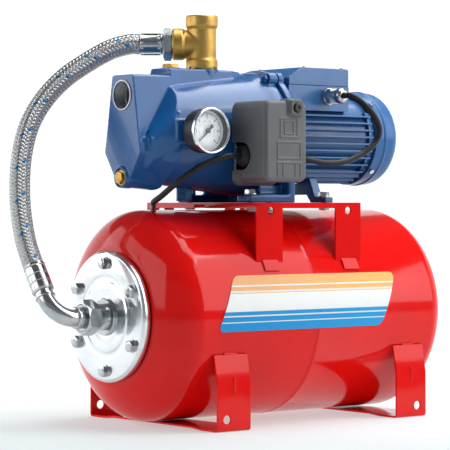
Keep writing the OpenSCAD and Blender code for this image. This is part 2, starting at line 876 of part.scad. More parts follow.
// Terminal box base: saddle floor over the motor frame and four walls
module terminal_box() {
    wall = 2.6;
    seat_r = fin_reach - 7.6;
    color(paint_blue) difference() {
        block(box_x, [-box_y, box_y], [box_z, lid_z - 0.1]);
        difference() {
            block([box_x[0] + wall, box_x[1] - wall], [-box_y + wall, box_y - wall],
                  [box_z - cut, lid_z + cut]);
            on_pump_axis() rod_x(0, 130, seat_r + wall);
        }
        on_pump_axis() rod_x(0, 130, seat_r);
        translate([gland_x, 0, gland_z]) rod_y(-box_y - cut, -box_y + 5, 8.05);
    }
}

// Terminal box lid with its bevelled front end
module terminal_lid() {
    wall = 2.4;
    color(paint_blue) difference() {
        plate_xz(-box_y, box_y, [
            [box_x[0], lid_z], [box_x[1], lid_z], [box_x[1], lid_top - 2],
            [box_x[1] - 2, lid_top], [31, lid_top], [box_x[0], 433.5]
        ]);
        plate_xz(-box_y + wall, box_y - wall, [
            [box_x[0] + wall, lid_z - cut], [box_x[1] - wall, lid_z - cut],
            [box_x[1] - wall, lid_top - wall], [32, lid_top - wall],
            [box_x[0] + wall, 432]
        ]);
    }
}

module capacitor() {
    color([0.85, 0.85, 0.83]) translate([0, 28, 427]) rod_x(34, 94, 14);
}

module cable_gland() {
    color(steel) translate([gland_x, 0, gland_z]) difference() {
        union() {
            rod_y(-box_y, -box_y + 4, 8);
            rod_y(-54, -box_y - 0.05, 10.75);
            translate([0, -54, 0]) rotate([90, 0, 0]) hex_prism(9, 19);
            rod_y(-79, -62.9, 9.8);
            rod_y(-82, -78.9, 7.5);
        }
        rod_y(-90, -40, cord_r + 0.05);
    }
}

module mounting_bolts() {
    color(steel) for (side = [-1, 1]) {
        translate([pump_bolt_x, side * pump_bolt_y, 284.05]) bolt_down(18);
        translate([motor_bolt_x, side * motor_bolt_y, 281.05]) bolt_down(15);
        for (at = [[pump_bolt_x, pump_bolt_y], [motor_bolt_x, motor_bolt_y]])
            translate([at[0], side * at[1], platform_z - sheet - 6.6]) difference() {
                hex_prism(6.5, m8_head_af);
                translate([0, 0, -cut]) cylinder(h = 10, r = m8_r + 0.02);
            }
    }
}

// ---------------------------------------------------------------- delivery tee

module delivery_tee() {
    base_z = tee_seat_z + 0.1;
    color(brass) translate([tee_x, 0, 0]) difference() {
        union() {
            translate([0, 0, base_z - 15]) cylinder(h = 15.1, r = port_r - 0.05);
            translate([0, 0, base_z]) cylinder(h = tee_top_z - base_z, r = 18);
            translate([0, 0, base_z]) cylinder(h = 11, r = 20);
            translate([0, 0, tee_top_z - 14]) cylinder(h = 14, r = 20);
            translate([0, 0, outlet_z]) rotate([0, 0, outlet_angle]) {
                rod_x(0, outlet_face, 18);
                rod_x(outlet_face - 12, outlet_face, 20);
            }
        }
        translate([0, 0, base_z - 20]) cylinder(h = 100, r = 12.5);
        translate([0, 0, tee_top_z - 16]) cylinder(h = 17, r = port_r);
        translate([0, 0, outlet_z]) rotate([0, 0, outlet_angle]) {
            rod_x(0, outlet_face, 12.5);
            rod_x(outlet_face - 15, outlet_face + cut, port_r);
        }
    }
}

// ---------------------------------------------------------------- gauge

module gauge_case() {
    color(black) translate([gauge_x, 0, gauge_z]) difference() {
        union() {
            rod_y(-94, -70, gauge_r - 0.8);
            rod_y(-70.1, -66.2, 9);
            rod_y(-70.1, -58, 6.5);
        }
        rod_y(-100, -74, gauge_r - 3);
        rod_y(-75, -50, 2);
    }
}

module gauge_bezel() {
    color(steel) translate([gauge_x, 0, gauge_z]) difference() {
        rod_y(-97, -91, gauge_r + 0.4);
        rod_y(-94.05, -90, gauge_r - 0.75);
        rod_y(-98, -90, gauge_r - 4);
    }
}

module gauge_lens() {
    color([0.9, 0.95, 1, 0.3]) translate([gauge_x, 0, gauge_z]) rod_y(-93.9, -92.4, gauge_r - 3.1);
}

module gauge_dial() {
    color([0.95, 0.95, 0.93]) translate([gauge_x, 0, gauge_z]) difference() {
        rod_y(-85, -84, gauge_r - 3.1);
        rod_y(-86, -83, 1.6);
    }
    color([0.95, 0.95, 0.93]) translate([gauge_x, 0, gauge_z]) difference() {
        rod_y(-84.1, -74.1, 8);
        rod_y(-86, -78, 1.6);
    }
}

module gauge_needle() {
    color(black) translate([gauge_x, 0, gauge_z]) {
        rod_y(-88.6, -78.5, 1.5);
        rod_y(-90, -86.4, 3);
        rotate([0, needle_rest, 0]) plate_xz(-88.4, -87.4, [
            [-8, -1.4], [0, -1.8], [19.5, -0.4], [19.5, 0.4], [0, 1.8], [-8, 1.4]
        ]);
    }
}

// ---------------------------------------------------------------- pressure switch

// Rounded outline of the switch in the XZ plane, shrunk by the given inset
function switch_outline(inset) =
    let (x = switch_x, r = 9, z = [switch_bottom, switch_top])
    concat(
        arc([x[0] + r, z[0] + r], r - inset, 180, 270),
        arc([x[1] - r, z[0] + r], r - inset, 270, 360),
        arc([x[1] - r, z[1] - r], r - inset, 0, 90),
        arc([x[0] + r, z[1] - r], r - inset, 90, 180)
    );

module switch_base() {
    bx = switch_x;
    color([0.62, 0.63, 0.65]) difference() {
        union() {
            plate_xz(switch_y_back - 4, switch_y_back - 0.5, switch_outline(3));
            block([bx[0] + 20, bx[1] - 12], [-98, switch_y_back - 3.9],
                  [switch_bottom + 6, switch_bottom + 22]);
            translate([spring_at[0], spring_at[1], 316]) cylinder(h = 58, r = 2.9);
            translate([spring_at[0], spring_at[1], spring_top]) cylinder(h = 4, r = 7.5);
        }
        translate([nipple_x, 0, nipple_z]) rod_y(-90, -60, 8.05);
    }
}

// Switch cover: drawn box open at the back, with a raised panel and a cord cut-out
module switch_cover() {
    wall = 2.2;
    bx = switch_x;
    color(grey) difference() {
        union() {
            plate_xz(switch_y_front + 3, switch_y_back, switch_outline(0));
            hull() {
                plate_xz(switch_y_front + 3, switch_y_front + 3.1, switch_outline(0));
                block([bx[0] + 5, bx[1] - 5], [switch_y_front + 0.6, switch_y_front + 0.7],
                      [switch_bottom + 5, switch_top - 5]);
            }
            block([bx[0] + 18, bx[1] - 16], [switch_y_front - 0.6, switch_y_front + 2],
                  [354, 380]);
            block([bx[0] + 12, bx[1] - 10], [switch_y_front - 0.6, switch_y_front + 2],
                  [324, 348]);
            translate([-57.8, 0, 386]) rod_y(switch_y_front - 0.6, switch_y_front + 2, 9);
        }
        plate_xz(switch_y_front + 2.5, switch_y_back + cut, switch_outline(wall));
        block([bx[0] - cut, bx[0] + wall + cut], [notch_y + 18, switch_y_back + cut], notch_z);
        translate([0, notch_y + 18, (notch_z[0] + notch_z[1]) / 2])
            rod_x(bx[0] - cut, bx[0] + wall + cut, (notch_z[1] - notch_z[0]) / 2);
        translate([0, link_y, link_z]) rod_x(bx[1] - wall - cut, bx[1] + cut, 8);
        translate([-57.8, 0, 386]) rod_y(switch_y_front - 2, switch_y_front + 5, 3.1);
    }
}

module switch_cover_nut() {
    color([0.15, 0.15, 0.17]) translate([-57.8, switch_y_front - 0.7, 386]) {
        rotate([90, 0, 0]) hex_prism(5, 10);
        rod_y(-7, -0.1, 4.2);
        rod_y(0, 40, 3);
    }
}

module switch_nipple() {
    color(brass) translate([nipple_x, 0, nipple_z]) difference() {
        union() {
            rod_y(-85, -62, 6.55);
            rod_y(-81.6, -71, 8);
        }
        rod_y(-90, -55, 3);
    }
}

// Lever that the diaphragm lifts against the range spring
module switch_lever() {
    color(steel) difference() {
        union() {
            block([lever_x - 1, -52], [-104, -84], [lever_z - 2, lever_z - 0.5]);
            translate([lever_x, 0, lever_z]) rod_y(-103, -85, 2.4);
        }
        translate([spring_at[0], spring_at[1], lever_z - 10]) cylinder(h = 20, r = 3.3);
    }
}

// Stack of coils round the stud, held together by a thin sleeve
module range_spring() {
    wire = 1;
    turns = 8;
    length = spring_top - lever_z - 0.1;
    pitch = (length - 2 * wire) / turns;
    color(steel) translate([spring_at[0], spring_at[1], lever_z]) {
        for (k = [0:turns])
            translate([0, 0, wire + k * pitch])
                rotate_extrude() translate([5.6, 0]) circle(r = wire, $fn = 16);
        tube_z(wire, length - wire, 5.6, 5);
    }
}

module tube_z(z0, z1, r_out, r_in) {
    translate([0, 0, z0]) difference() {
        cylinder(h = z1 - z0, r = r_out);
        translate([0, 0, -cut]) cylinder(h = z1 - z0 + 2 * cut, r = r_in);
    }
}

// Rubber bushes that hold the two cords in the switch
module cable_bushes() {
    color(black) {
        translate([0, bush_y, bush_z]) difference() {
            union() {
                rod_x(-110, -104.9, 12.2);
                rod_x(-105, -98, 13.5);
                rod_x(-98.1, -88, 9);
            }
            rod_x(-112, -84, cord_r + 0.05);
        }
        translate([0, link_y, link_z]) difference() {
            union() {
                rod_x(-50, -38.9, 7.9);
                rod_x(-38.9, -34, 9.5);
            }
            rod_x(-52, -30, cord_r + 0.05);
        }
    }
}

// ---------------------------------------------------------------- hose

// Places children at the elbow's outlet: origin at the bend's start, outlet along +Z
module at_elbow() {
    translate([elbow_x, 0, tank_z]) rotate([-elbow_lean, 0, 0]) children();
}

// Quarter bend of round bar in the elbow's own frame
module quarter_bend(r) {
    translate([0, 0, elbow_r]) rotate([90, 0, 0]) rotate([0, 0, 180])
        rotate_extrude(angle = 90) translate([elbow_r, 0]) circle(r = r, $fn = 32);
}

module hose_elbow() {
    riser = ferrule_end - 4;
    color(steel) difference() {
        union() {
            on_tank_axis() {
                rod_x(elbow_x + 1, -270.2, pipe_r);
                rod_x(-272.6, -270.2, 15.6);
                rod_x(elbow_x - 0.5, -277, 13.4);
            }
            at_elbow() {
                quarter_bend(pipe_r);
                translate([-elbow_r, 0, elbow_r - 0.5]) cylinder(h = 3, r = 12.4);
                translate([-elbow_r, 0, elbow_r + 1]) cylinder(h = riser - 1, r = pipe_r);
            }
        }
        on_tank_axis() rod_x(elbow_x, -270, pipe_bore_r);
        at_elbow() {
            quarter_bend(pipe_bore_r - 0.3);
            translate([-elbow_r, 0, elbow_r]) cylinder(h = riser + cut, r = pipe_bore_r);
        }
    }
}

// Crimped ferrule with its turned collar, from z = 0 upwards
module ferrule(length, bore) {
    difference() {
        union() {
            cylinder(h = length, r = ferrule_r - 0.9);
            for (z = [0, length * 0.32, length * 0.64])
                translate([0, 0, z]) cylinder(h = length * 0.22, r = ferrule_r);
            translate([0, 0, length - 3]) cylinder(h = 3, r = ferrule_r);
        }
        translate([0, 0, -cut]) cylinder(h = length + 2 * cut, r = bore);
    }
}

module swivel_nut() {
    on_tank_axis() difference() {
        translate([-276, 0, 0]) rotate([0, 90, 0]) hex_prism(18, 38);
        rod_x(-272.8, -250, port_r);
        rod_x(-280, -270, pipe_r + 0.2);
    }
}

module hose_fittings() {
    color(steel) {
        swivel_nut();
        at_elbow() translate([-elbow_r, 0, elbow_r + 8]) ferrule(ferrule_end - 8, pipe_r + 0.05);
        translate([tee_x, 0, outlet_z]) rotate([0, 0, outlet_angle]) {
            difference() {
                union() {
                    rod_x(outlet_face - 13, outlet_face + 0.2, port_r - 0.05);
                    translate([outlet_face + 0.1, 0, 0]) rotate([0, 90, 0]) hex_prism(12, 36);
                }
                rod_x(0, 60, pipe_bore_r);
            }
            translate([outlet_face + 12, 0, 0]) rotate([0, 90, 0])
                ferrule(outlet_end - outlet_face - 12, pipe_bore_r);
        }
    }
}

module hose() {
    color([0.62, 0.64, 0.66]) swept_tube(hose_route, hose_r, 12);
}

// ---------------------------------------------------------------- cords

module link_cable() {
    color(black) swept_tube(link_route, cord_r, 10);
}

module mains_cable() {
    color(black) {
        swept_tube(mains_route, cord_r, 10);
        swept_tube(plug_route, cord_r, 10);
    }
}

module mains_coil() {
    turns_w = coil_rings * cord_r;
    color(black) translate([coil_at[0], coil_at[1], 0])
        rotate_extrude() polygon([
            [coil_r - turns_w, 0.1], [coil_r + turns_w, 0.1],
            [coil_r + turns_w, 4 * cord_r], [coil_r - turns_w, 4 * cord_r]
        ]);
}

// Two-pin safety plug lying on the floor, pins towards -X
module mains_plug() {
    color(black) translate([plug_at[0], plug_at[1], plug_z]) {
        rod_x(-14, 0, 6);
        rod_x(-34, -13.9, 13);
        difference() {
            rod_x(-56, -33.9, 18.5);
            for (side = [-1, 1])
                translate([0, 0, side * 18.5]) block([-57, -40], [-2.5, 2.5], [-3, 3]);
        }
        for (side = [-1, 1])
            translate([0, side * 9.5, 0]) rod_x(-75, -55.9, 2.4);
    }
}

// ---------------------------------------------------------------- assembly

tank_front_shell();
tank_rear_shell();
tank_membrane();
tank_flange();
flange_bolts();
flange_nipple();
air_valve();
valve_cap();
foot_left();
foot_right();
platform();
tank_label();
pump_body();
priming_plug();
drain_plug();
ejector_nozzle();
venturi_tube();
diffuser();
impeller();
seal_rotor();
seal_seat();
motor_shaft();
motor_bracket();
casing_bolts();
bearing_outer_rings();
bearing_inner_rings();
motor_frame();
stator_core();
stator_windings();
rotor_core();
rear_end_shield();
cooling_fan();
fan_cover();
cover_screws();
motor_foot();
terminal_box();
terminal_lid();
capacitor();
cable_gland();
mounting_bolts();
delivery_tee();
gauge_case();
gauge_bezel();
gauge_lens();
gauge_dial();
gauge_needle();
switch_base();
switch_cover();
switch_cover_nut();
switch_nipple();
switch_lever();
range_spring();
cable_bushes();
hose_elbow();
hose_fittings();
hose();
link_cable();
mains_cable();
mains_coil();
mains_plug();
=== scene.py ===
"""Shallow well jet pump set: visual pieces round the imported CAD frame.

Lengths inside the helpers are in millimetres in the CAD's own frame and are scaled to
metres as a mesh is made. +Z is up, +X points to the motor's fan end, -Y is the front.
"""

import json
import math

import bmesh
import bpy
from mathutils import Matrix, Vector

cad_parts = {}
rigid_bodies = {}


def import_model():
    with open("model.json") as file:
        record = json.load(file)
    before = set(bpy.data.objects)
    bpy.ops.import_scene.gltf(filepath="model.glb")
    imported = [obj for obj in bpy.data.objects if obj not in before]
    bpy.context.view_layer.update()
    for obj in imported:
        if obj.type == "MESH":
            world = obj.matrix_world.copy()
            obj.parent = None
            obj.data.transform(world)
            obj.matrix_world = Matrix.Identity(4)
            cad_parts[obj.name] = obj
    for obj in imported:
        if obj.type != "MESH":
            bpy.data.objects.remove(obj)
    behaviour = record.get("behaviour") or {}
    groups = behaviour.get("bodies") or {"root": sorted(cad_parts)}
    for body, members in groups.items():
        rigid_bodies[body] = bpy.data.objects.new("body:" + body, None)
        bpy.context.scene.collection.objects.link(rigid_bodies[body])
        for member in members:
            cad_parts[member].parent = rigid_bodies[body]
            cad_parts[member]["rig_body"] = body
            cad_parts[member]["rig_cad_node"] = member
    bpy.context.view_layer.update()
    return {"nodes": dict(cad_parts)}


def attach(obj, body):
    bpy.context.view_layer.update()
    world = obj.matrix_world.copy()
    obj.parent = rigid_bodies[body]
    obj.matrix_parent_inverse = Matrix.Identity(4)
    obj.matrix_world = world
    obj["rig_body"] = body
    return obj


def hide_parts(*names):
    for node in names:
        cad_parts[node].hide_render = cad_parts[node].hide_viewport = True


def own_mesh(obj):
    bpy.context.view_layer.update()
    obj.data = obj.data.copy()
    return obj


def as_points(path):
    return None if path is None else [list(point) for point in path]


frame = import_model()
nodes = frame["nodes"]
MM = 0.001
TAU = 2 * math.pi

# ------------------------------------------------------------------ camera and lights

SIGHT_YAW = math.radians(38.49)


def make_camera():
    data = bpy.data.cameras.new("camera")
    data.lens = 176
    data.sensor_width = 36
    data.shift_y = -0.0488
    cam = bpy.data.objects.new("camera", data)
    cam.location = (-1.79204, -2.18532, 0.27347)
    cam.rotation_euler = (math.pi / 2, 0, -SIGHT_YAW)
    bpy.context.scene.collection.objects.link(cam)
    bpy.context.scene.camera = cam


def soft_light(name, place, target, size, watts, colour=(1, 1, 1)):
    data = bpy.data.lights.new(name, "AREA")
    data.shape = "RECTANGLE"
    data.size, data.size_y = size
    data.energy = watts
    data.color = colour
    lamp = bpy.data.objects.new(name, data)
    lamp.location = place
    aim = Vector(target) - Vector(place)
    lamp.rotation_euler = aim.to_track_quat("-Z", "Y").to_euler()
    bpy.context.scene.collection.objects.link(lamp)


def make_world():
    world = bpy.data.worlds.new("studio")
    world.use_nodes = True
    back = world.node_tree.nodes["Background"]
    back.inputs["Color"].default_value = (0.80, 0.82, 0.86, 1)
    back.inputs["Strength"].default_value = 0.16
    bpy.context.scene.world = world


make_camera()
make_world()
soft_light("right", (1.35, -1.75, 1.40), (0.05, 0, 0.3), (1.9, 2.3), 41)
soft_light("left", (-2.29, 0.46, 0.95), (-0.1, 0, 0.25), (1.3, 1.4), 12)
soft_light("top", (0.55, -0.15, 1.95), (0, 0, 0.2), (1.8, 1.4), 43)
soft_light("far_left", (-1.6, 1.9, 0.95), (-0.1, 0, 0.25), (1.8, 1.7), 17)
bpy.context.scene.view_settings.view_transform = "Standard"

# ------------------------------------------------------------------ materials


class Shader:
    """A node material round one Principled shader, with helpers for its maps."""

    def __init__(self, name, metallic=0.0, **sockets):
        self.material = bpy.data.materials.new(name)
        self.material.use_nodes = True
        self.tree = self.material.node_tree
        self.bsdf = self.tree.nodes["Principled BSDF"]
        self.set(self.bsdf, Metallic=metallic, **sockets)
        self.place = self.node("ShaderNodeTexCoord").outputs["Object"]
        self.normal = None

    def node(self, kind, **settings):
        made = self.tree.nodes.new(kind)
        for key, value in settings.items():
            setattr(made, key, value)
        return made

    def link(self, a, b):
        self.tree.links.new(a, b)

    def feed(self, socket, value):
        """Links another node's output to a socket, or sets the socket's own value."""
        if hasattr(value, "is_output"):
            self.link(value, socket)
        else:
            socket.default_value = value

    def set(self, node, **values):
        for key, value in values.items():
            self.feed(node.inputs[key.replace("_", " ")], value)
        return node

    def noise(self, scale, detail=4, rough=0.55, stretch=None):
        """Noise over the object, in cycles per metre, stretched along an axis if asked."""
        where = self.place
        if stretch:
            where = self.set(self.node("ShaderNodeMapping"), Vector=where, Scale=stretch).outputs[0]
        tex = self.set(self.node("ShaderNodeTexNoise"), Vector=where, Scale=scale,
                       Detail=detail, Roughness=rough)
        return tex.outputs["Fac"]

    def cells(self, scale):
        tex = self.node("ShaderNodeTexVoronoi", feature="F1")
        return self.set(tex, Vector=self.place, Scale=scale).outputs["Distance"]

    def ramp(self, value, low, high, out_low=0.0, out_high=1.0):
        return self.set(self.node("ShaderNodeMapRange"), Value=value, From_Min=low,
                        From_Max=high, To_Min=out_low, To_Max=out_high).outputs["Result"]

    def math(self, kind, a, b):
        made = self.node("ShaderNodeMath", operation=kind)
        for socket, value in zip(made.inputs, (a, b)):
            self.feed(socket, value)
        return made.outputs[0]

    def mix(self, factor, a, b):
        made = self.node("ShaderNodeMix", data_type="RGBA")
        for index, value in ((0, factor), (6, a), (7, b)):
            self.feed(made.inputs[index], (*value, 1) if hasattr(value, "__len__") else value)
        return made.outputs[2]

    def edges(self, radius, low, high):
        """One along convex and concave edges, from the bevelled normal."""
        bevel = self.set(self.node("ShaderNodeBevel", samples=4), Radius=radius)
        flat = self.node("ShaderNodeNewGeometry").outputs["Normal"]
        dot = self.node("ShaderNodeVectorMath", operation="DOT_PRODUCT")
        self.link(bevel.outputs[0], dot.inputs[0])
        self.link(flat, dot.inputs[1])
        off = self.math("SUBTRACT", 1.0, dot.outputs["Value"])
        return self.ramp(off, low, high)

    def bump(self, height, distance, strength=1.0):
        made = self.set(self.node("ShaderNodeBump"), Height=height, Distance=distance,
                        Strength=strength)
        if self.normal is not None:
            self.link(self.normal, made.inputs["Normal"])
        self.normal = made.outputs[0]

    def layout(self):
        """Across and up on a piece's own layout map."""
        split = self.node("ShaderNodeSeparateXYZ")
        self.link(self.node("ShaderNodeUVMap", uv_map="layout").outputs[0], split.inputs[0])
        return split.outputs["X"], split.outputs["Y"]

    def done(self, colour, roughness):
        self.set(self.bsdf, Base_Color=colour, Roughness=roughness)
        if self.normal is not None:
            self.link(self.normal, self.bsdf.inputs["Normal"])
        return self.material


def lighter(colour, gain, lift):
    return [min(1, c * gain + lift) for c in colour]


def enamel(name, colour, shade, scale=(0.20, 0.34), grain=0.0, peel=0.00006, chip=(0.3, 0.3, 0.3),
           coat=0.5, gloss=0.5):
    """Sprayed enamel: orange peel, slight mottling, dust in the finish and rubbed edges."""
    s = Shader(name, Coat_Weight=coat, Coat_Roughness=0.04, Specular_IOR_Level=gloss)
    mottle = s.ramp(s.noise(14, 5), 0.35, 0.68)
    base = s.mix(mottle, colour, shade)
    dust = s.ramp(s.noise(900, 2), 0.70, 0.80, 0, 0.25)
    base = s.mix(dust, base, lighter(colour, 1.5, 0.03))
    rub = s.math("MULTIPLY", s.edges(0.0009, 0.03, 0.3), s.ramp(s.noise(160, 5), 0.54, 0.70))
    base = s.mix(s.math("MULTIPLY", rub, 0.4), base, chip)
    rough = s.math("ADD", s.ramp(s.noise(30, 6), 0.3, 0.7, *scale),
                   s.math("MULTIPLY", rub, 0.18))
    s.bump(s.noise(420, 2), peel)
    if grain:
        s.bump(s.noise(260, 7, 0.7), grain)
        s.bump(s.cells(420), grain * 0.5)
    return s.done(base, rough)


def metal(name, colour, shade, rough=(0.18, 0.36), scratch=None, bump=0.00001, tarnish=None,
          grain=220, spots=0.0):
    """Bare or plated metal: tool or brush lines, tarnish in patches and brighter edges."""
    s = Shader(name, metallic=1.0)
    patch = s.ramp(s.noise(38, 6), 0.36, 0.66)
    base = s.mix(patch, colour, shade)
    if tarnish:
        dull = s.math("MULTIPLY", s.ramp(s.noise(70, 7, 0.65), 0.52, 0.72), 0.7)
        base = s.mix(dull, base, tarnish)
    worn = s.edges(0.0006, 0.03, 0.25)
    base = s.mix(s.math("MULTIPLY", worn, 0.55), base, lighter(colour, 1.12, 0.03))
    lines = s.noise(grain, 5, 0.6, scratch)
    mottled = s.math("ADD", s.math("MULTIPLY", lines, 0.5), s.math("MULTIPLY", patch, 0.5))
    roughness = s.ramp(mottled, 0.25, 0.75, *rough)
    s.bump(lines, bump)
    if spots:
        s.bump(s.cells(500), spots)
    return s.done(base, roughness)


def moulded(name, colour, shade, rough=(0.38, 0.55), grain=0.00003, gloss=0.4):
    """Moulded plastic or rubber: fine spark-eroded grain, scuffs and a little dust."""
    s = Shader(name, Specular_IOR_Level=gloss)
    base = s.mix(s.ramp(s.noise(26, 5), 0.35, 0.68), colour, shade)
    scuff = s.math("MULTIPLY", s.edges(0.0008, 0.04, 0.3), s.ramp(s.noise(220, 4), 0.42, 0.62))
    light = lighter(colour, 1.7, 0.05)
    base = s.mix(s.math("MULTIPLY", scuff, 0.35), base, light)
    base = s.mix(s.ramp(s.noise(1200, 2), 0.72, 0.82, 0, 0.3), base, light)
    s.bump(s.noise(1400, 3), grain)
    s.bump(s.noise(60, 3), grain * 2)
    return s.done(base, s.ramp(s.noise(44, 6), 0.3, 0.7, *rough))


MATERIALS = {
    "red_paint": enamel("red_enamel", (0.75, 0.006, 0.005), (0.68, 0.005, 0.004),
                        (0.07, 0.14), peel=0.00003, chip=(0.42, 0.05, 0.04), coat=0.16,
                        gloss=0.18),
    "blue_paint": enamel("blue_cast_enamel", (0.010, 0.102, 0.315), (0.008, 0.088, 0.275),
                         (0.18, 0.28), grain=0.00006, chip=(0.12, 0.22, 0.38), coat=0.24,
                         gloss=0.36),
    "blue_motor": enamel("blue_motor_enamel", (0.022, 0.122, 0.330), (0.017, 0.104, 0.285),
                         (0.26, 0.40), grain=0.00008, chip=(0.14, 0.24, 0.40), coat=0.22,
                         gloss=0.52),
    "blue_plastic": enamel("blue_cover_enamel", (0.024, 0.128, 0.345), (0.018, 0.110, 0.300),
                           (0.26, 0.38), peel=0.00004, chip=(0.12, 0.24, 0.42), coat=0.12,
                           gloss=0.36),
    "polished_steel": metal("polished_steel", (0.85, 0.86, 0.88), (0.76, 0.77, 0.80),
                            (0.10, 0.24), (1, 1, 1), 0.000006, grain=90),
    "plated_steel": metal("zinc_plated_steel", (0.62, 0.63, 0.645), (0.46, 0.47, 0.49),
                          (0.10, 0.24), None, 0.00002, (0.36, 0.35, 0.33)),
    "dark_steel": metal("dark_steel", (0.20, 0.20, 0.21), (0.12, 0.12, 0.13), (0.3, 0.5)),
    "cast_brass": metal("cast_brass", (0.66, 0.42, 0.12), (0.54, 0.32, 0.085), (0.38, 0.54),
                        None, 0.00004, (0.36, 0.21, 0.06), spots=0.00016),
    "copper_wire": metal("enamelled_copper", (0.70, 0.30, 0.13), (0.55, 0.22, 0.09),
                         (0.25, 0.4), (1, 9, 9), 0.0001),
    "alloy": metal("cast_alloy", (0.62, 0.63, 0.64), (0.50, 0.51, 0.52), (0.34, 0.5),
                   None, 0.00008),
    "braid": metal("braid_steel", (0.74, 0.75, 0.76), (0.60, 0.61, 0.63), (0.22, 0.36)),
    "black_rubber": moulded("black_rubber", (0.012, 0.011, 0.011), (0.019, 0.017, 0.017),
                            (0.30, 0.46), 0.00002, gloss=0.25),
    "black_plastic": moulded("black_plastic", (0.018, 0.017, 0.018), (0.028, 0.027, 0.028),
                             (0.30, 0.46)),
    "grey_plastic": moulded("grey_plastic", (0.112, 0.117, 0.125), (0.094, 0.098, 0.105),
                            (0.34, 0.48), 0.00003),
    "white_plastic": moulded("white_plastic", (0.86, 0.87, 0.88), (0.80, 0.81, 0.82),
                             (0.4, 0.5)),
    "seal_ceramic": moulded("seal_ceramic", (0.72, 0.71, 0.66), (0.62, 0.61, 0.57), (0.2, 0.3)),
}


def bare_iron():
    """Unpainted cast iron inside the ports."""
    s = Shader("bare_iron", metallic=0.7)
    base = s.mix(s.ramp(s.noise(60, 5), 0.35, 0.7), (0.27, 0.28, 0.29), (0.37, 0.38, 0.39))
    s.bump(s.noise(500, 4), 0.0001)
    return s.done(base, s.ramp(s.noise(90, 4), 0.3, 0.7, 0.35, 0.6))


def machined_ring():
    """Turned face round the suction port."""
    s = Shader("machined_iron", metallic=1.0)
    base = s.mix(s.ramp(s.noise(90, 4), 0.35, 0.7), (0.34, 0.34, 0.34), (0.44, 0.44, 0.44))
    s.bump(s.noise(420, 3, 0.5, (12, 1, 1)), 0.00004)
    return s.done(base, s.ramp(s.noise(120, 4), 0.3, 0.7, 0.28, 0.45))


def label_film():
    """Printed film: bands of colour by height on the sheet's own layout."""
    s = Shader("label_film", Coat_Weight=0.08, Coat_Roughness=0.12, Specular_IOR_Level=0.3)
    across, up = s.layout()
    wander = s.ramp(s.noise(30, 3), 0.3, 0.7, 0.92, 1.0)
    base = s.mix(wander, (0.72, 0.72, 0.71), (0.80, 0.80, 0.79))

    def band(low, high, colour):
        above = s.math("GREATER_THAN", up, low)
        below = s.math("LESS_THAN", up, high)
        return s.mix(s.math("MULTIPLY", above, below), base, colour)

    sun = s.ramp(across, 0.1, 0.9)
    base = band(0.0, 0.355, s.mix(sun, (0.003, 0.26, 0.60), (0.005, 0.31, 0.66)))
    base = band(0.677, 1.0, s.mix(sun, (0.78, 0.38, 0.15), (0.78, 0.42, 0.09)))
    for low, high in ((0.155, 0.173), (0.262, 0.287), (0.692, 0.725), (0.800, 0.828)):
        base = band(low, high, (0.74, 0.74, 0.73))
    s.bump(s.noise(300, 2), 0.00003)
    return s.done(base, s.ramp(s.noise(80, 4), 0.3, 0.7, 0.26, 0.38))


def braid_wire(name, colour, shade):
    """Ribbon of six parallel wires: ridges across the ribbon's width on its own layout, with
    painted shade darkening the grooves between the wires.
    """
    s = Shader(name, metallic=1.0)
    _, up = s.layout()
    wave = s.math("SINE", s.math("MULTIPLY", up, TAU * 6), 0.5)
    # Painted shade: the grooves between the wires are darkened to a quarter of the second colour.
    base = s.mix(s.ramp(wave, -1.0, 0.3), [c * 0.25 for c in shade], colour)
    base = s.mix(s.ramp(s.noise(20, 3), 0.4, 0.7, 0, 0.4), base, shade)
    s.bump(wave, 0.00008, 0.6)
    return s.done(base, s.ramp(s.noise(60, 4), 0.3, 0.7, 0.26, 0.34))


def lens_glass():
    """Clear window: mostly see-through, with a faint smeared reflection."""
    s = Shader("gauge_glass", IOR=1.45)
    s.bump(s.noise(60, 2), 0.00001)
    s.link(s.ramp(s.noise(25, 4), 0.3, 0.7, 0.04, 0.08), s.bsdf.inputs["Alpha"])
    return s.done(s.mix(s.noise(40, 2), (0.86, 0.88, 0.90), (0.92, 0.94, 0.95)),
                  s.ramp(s.noise(200, 4), 0.4, 0.8, 0.02, 0.08))


def printed(name, colour, glow=0.0):
    """Matt ink or paint on the dial, with a faint painted glow on the dial's white face, which
    shines though it is no lamp.
    """
    s = Shader(name, Emission_Color=(0.9, 0.95, 1.0, 1), Emission_Strength=glow)
    s.bump(s.noise(900, 2), 0.00001)
    return s.done(s.mix(s.noise(300, 3), colour, lighter(colour, 1.25, 0.01)),
                  s.ramp(s.noise(300, 3), 0.3, 0.7, 0.4, 0.55))


MATERIALS["label_film"] = label_film()
MATERIALS["clear_glass"] = lens_glass()
BARE_IRON = bare_iron()
MACHINED = machined_ring()
BRAID_PLAIN = braid_wire("braid_ribbon", (0.62, 0.63, 0.64), (0.40, 0.41, 0.42))
BRAID_BLUE = braid_wire("braid_tracer", (0.03, 0.26, 0.62), (0.02, 0.18, 0.46))
PRINT_BLACK = printed("dial_print", (0.02, 0.02, 0.022))
# The dial's white face glows faintly: painted light that keeps it white behind the glass, not a
# lamp.
DIAL_WHITE_GLOWING = printed("dial_face_glowing", (0.82, 0.84, 0.86), 0.28)
NEEDLE_GREY = printed("needle_grey", (0.07, 0.08, 0.10))

# ------------------------------------------------------------------ mesh helpers

X_AXIS = Matrix.Rotation(math.pi / 2, 4, "Y")
PUMP_AXIS_Z, TANK_AXIS_Z, TANK_R = 359, 135, 130
SUCTION_Z, DRAIN_Z = 405.6, 304.4
PRIMING_X, OUTLET_X = -141, -91.7
GAUGE_X, GAUGE_Z = -150, 361
EAR_ANGLES = (32, 120, 240, 328)
FOOT_X, FOOT_Y, FOOT_FOLD_Z = 145, 132, 57


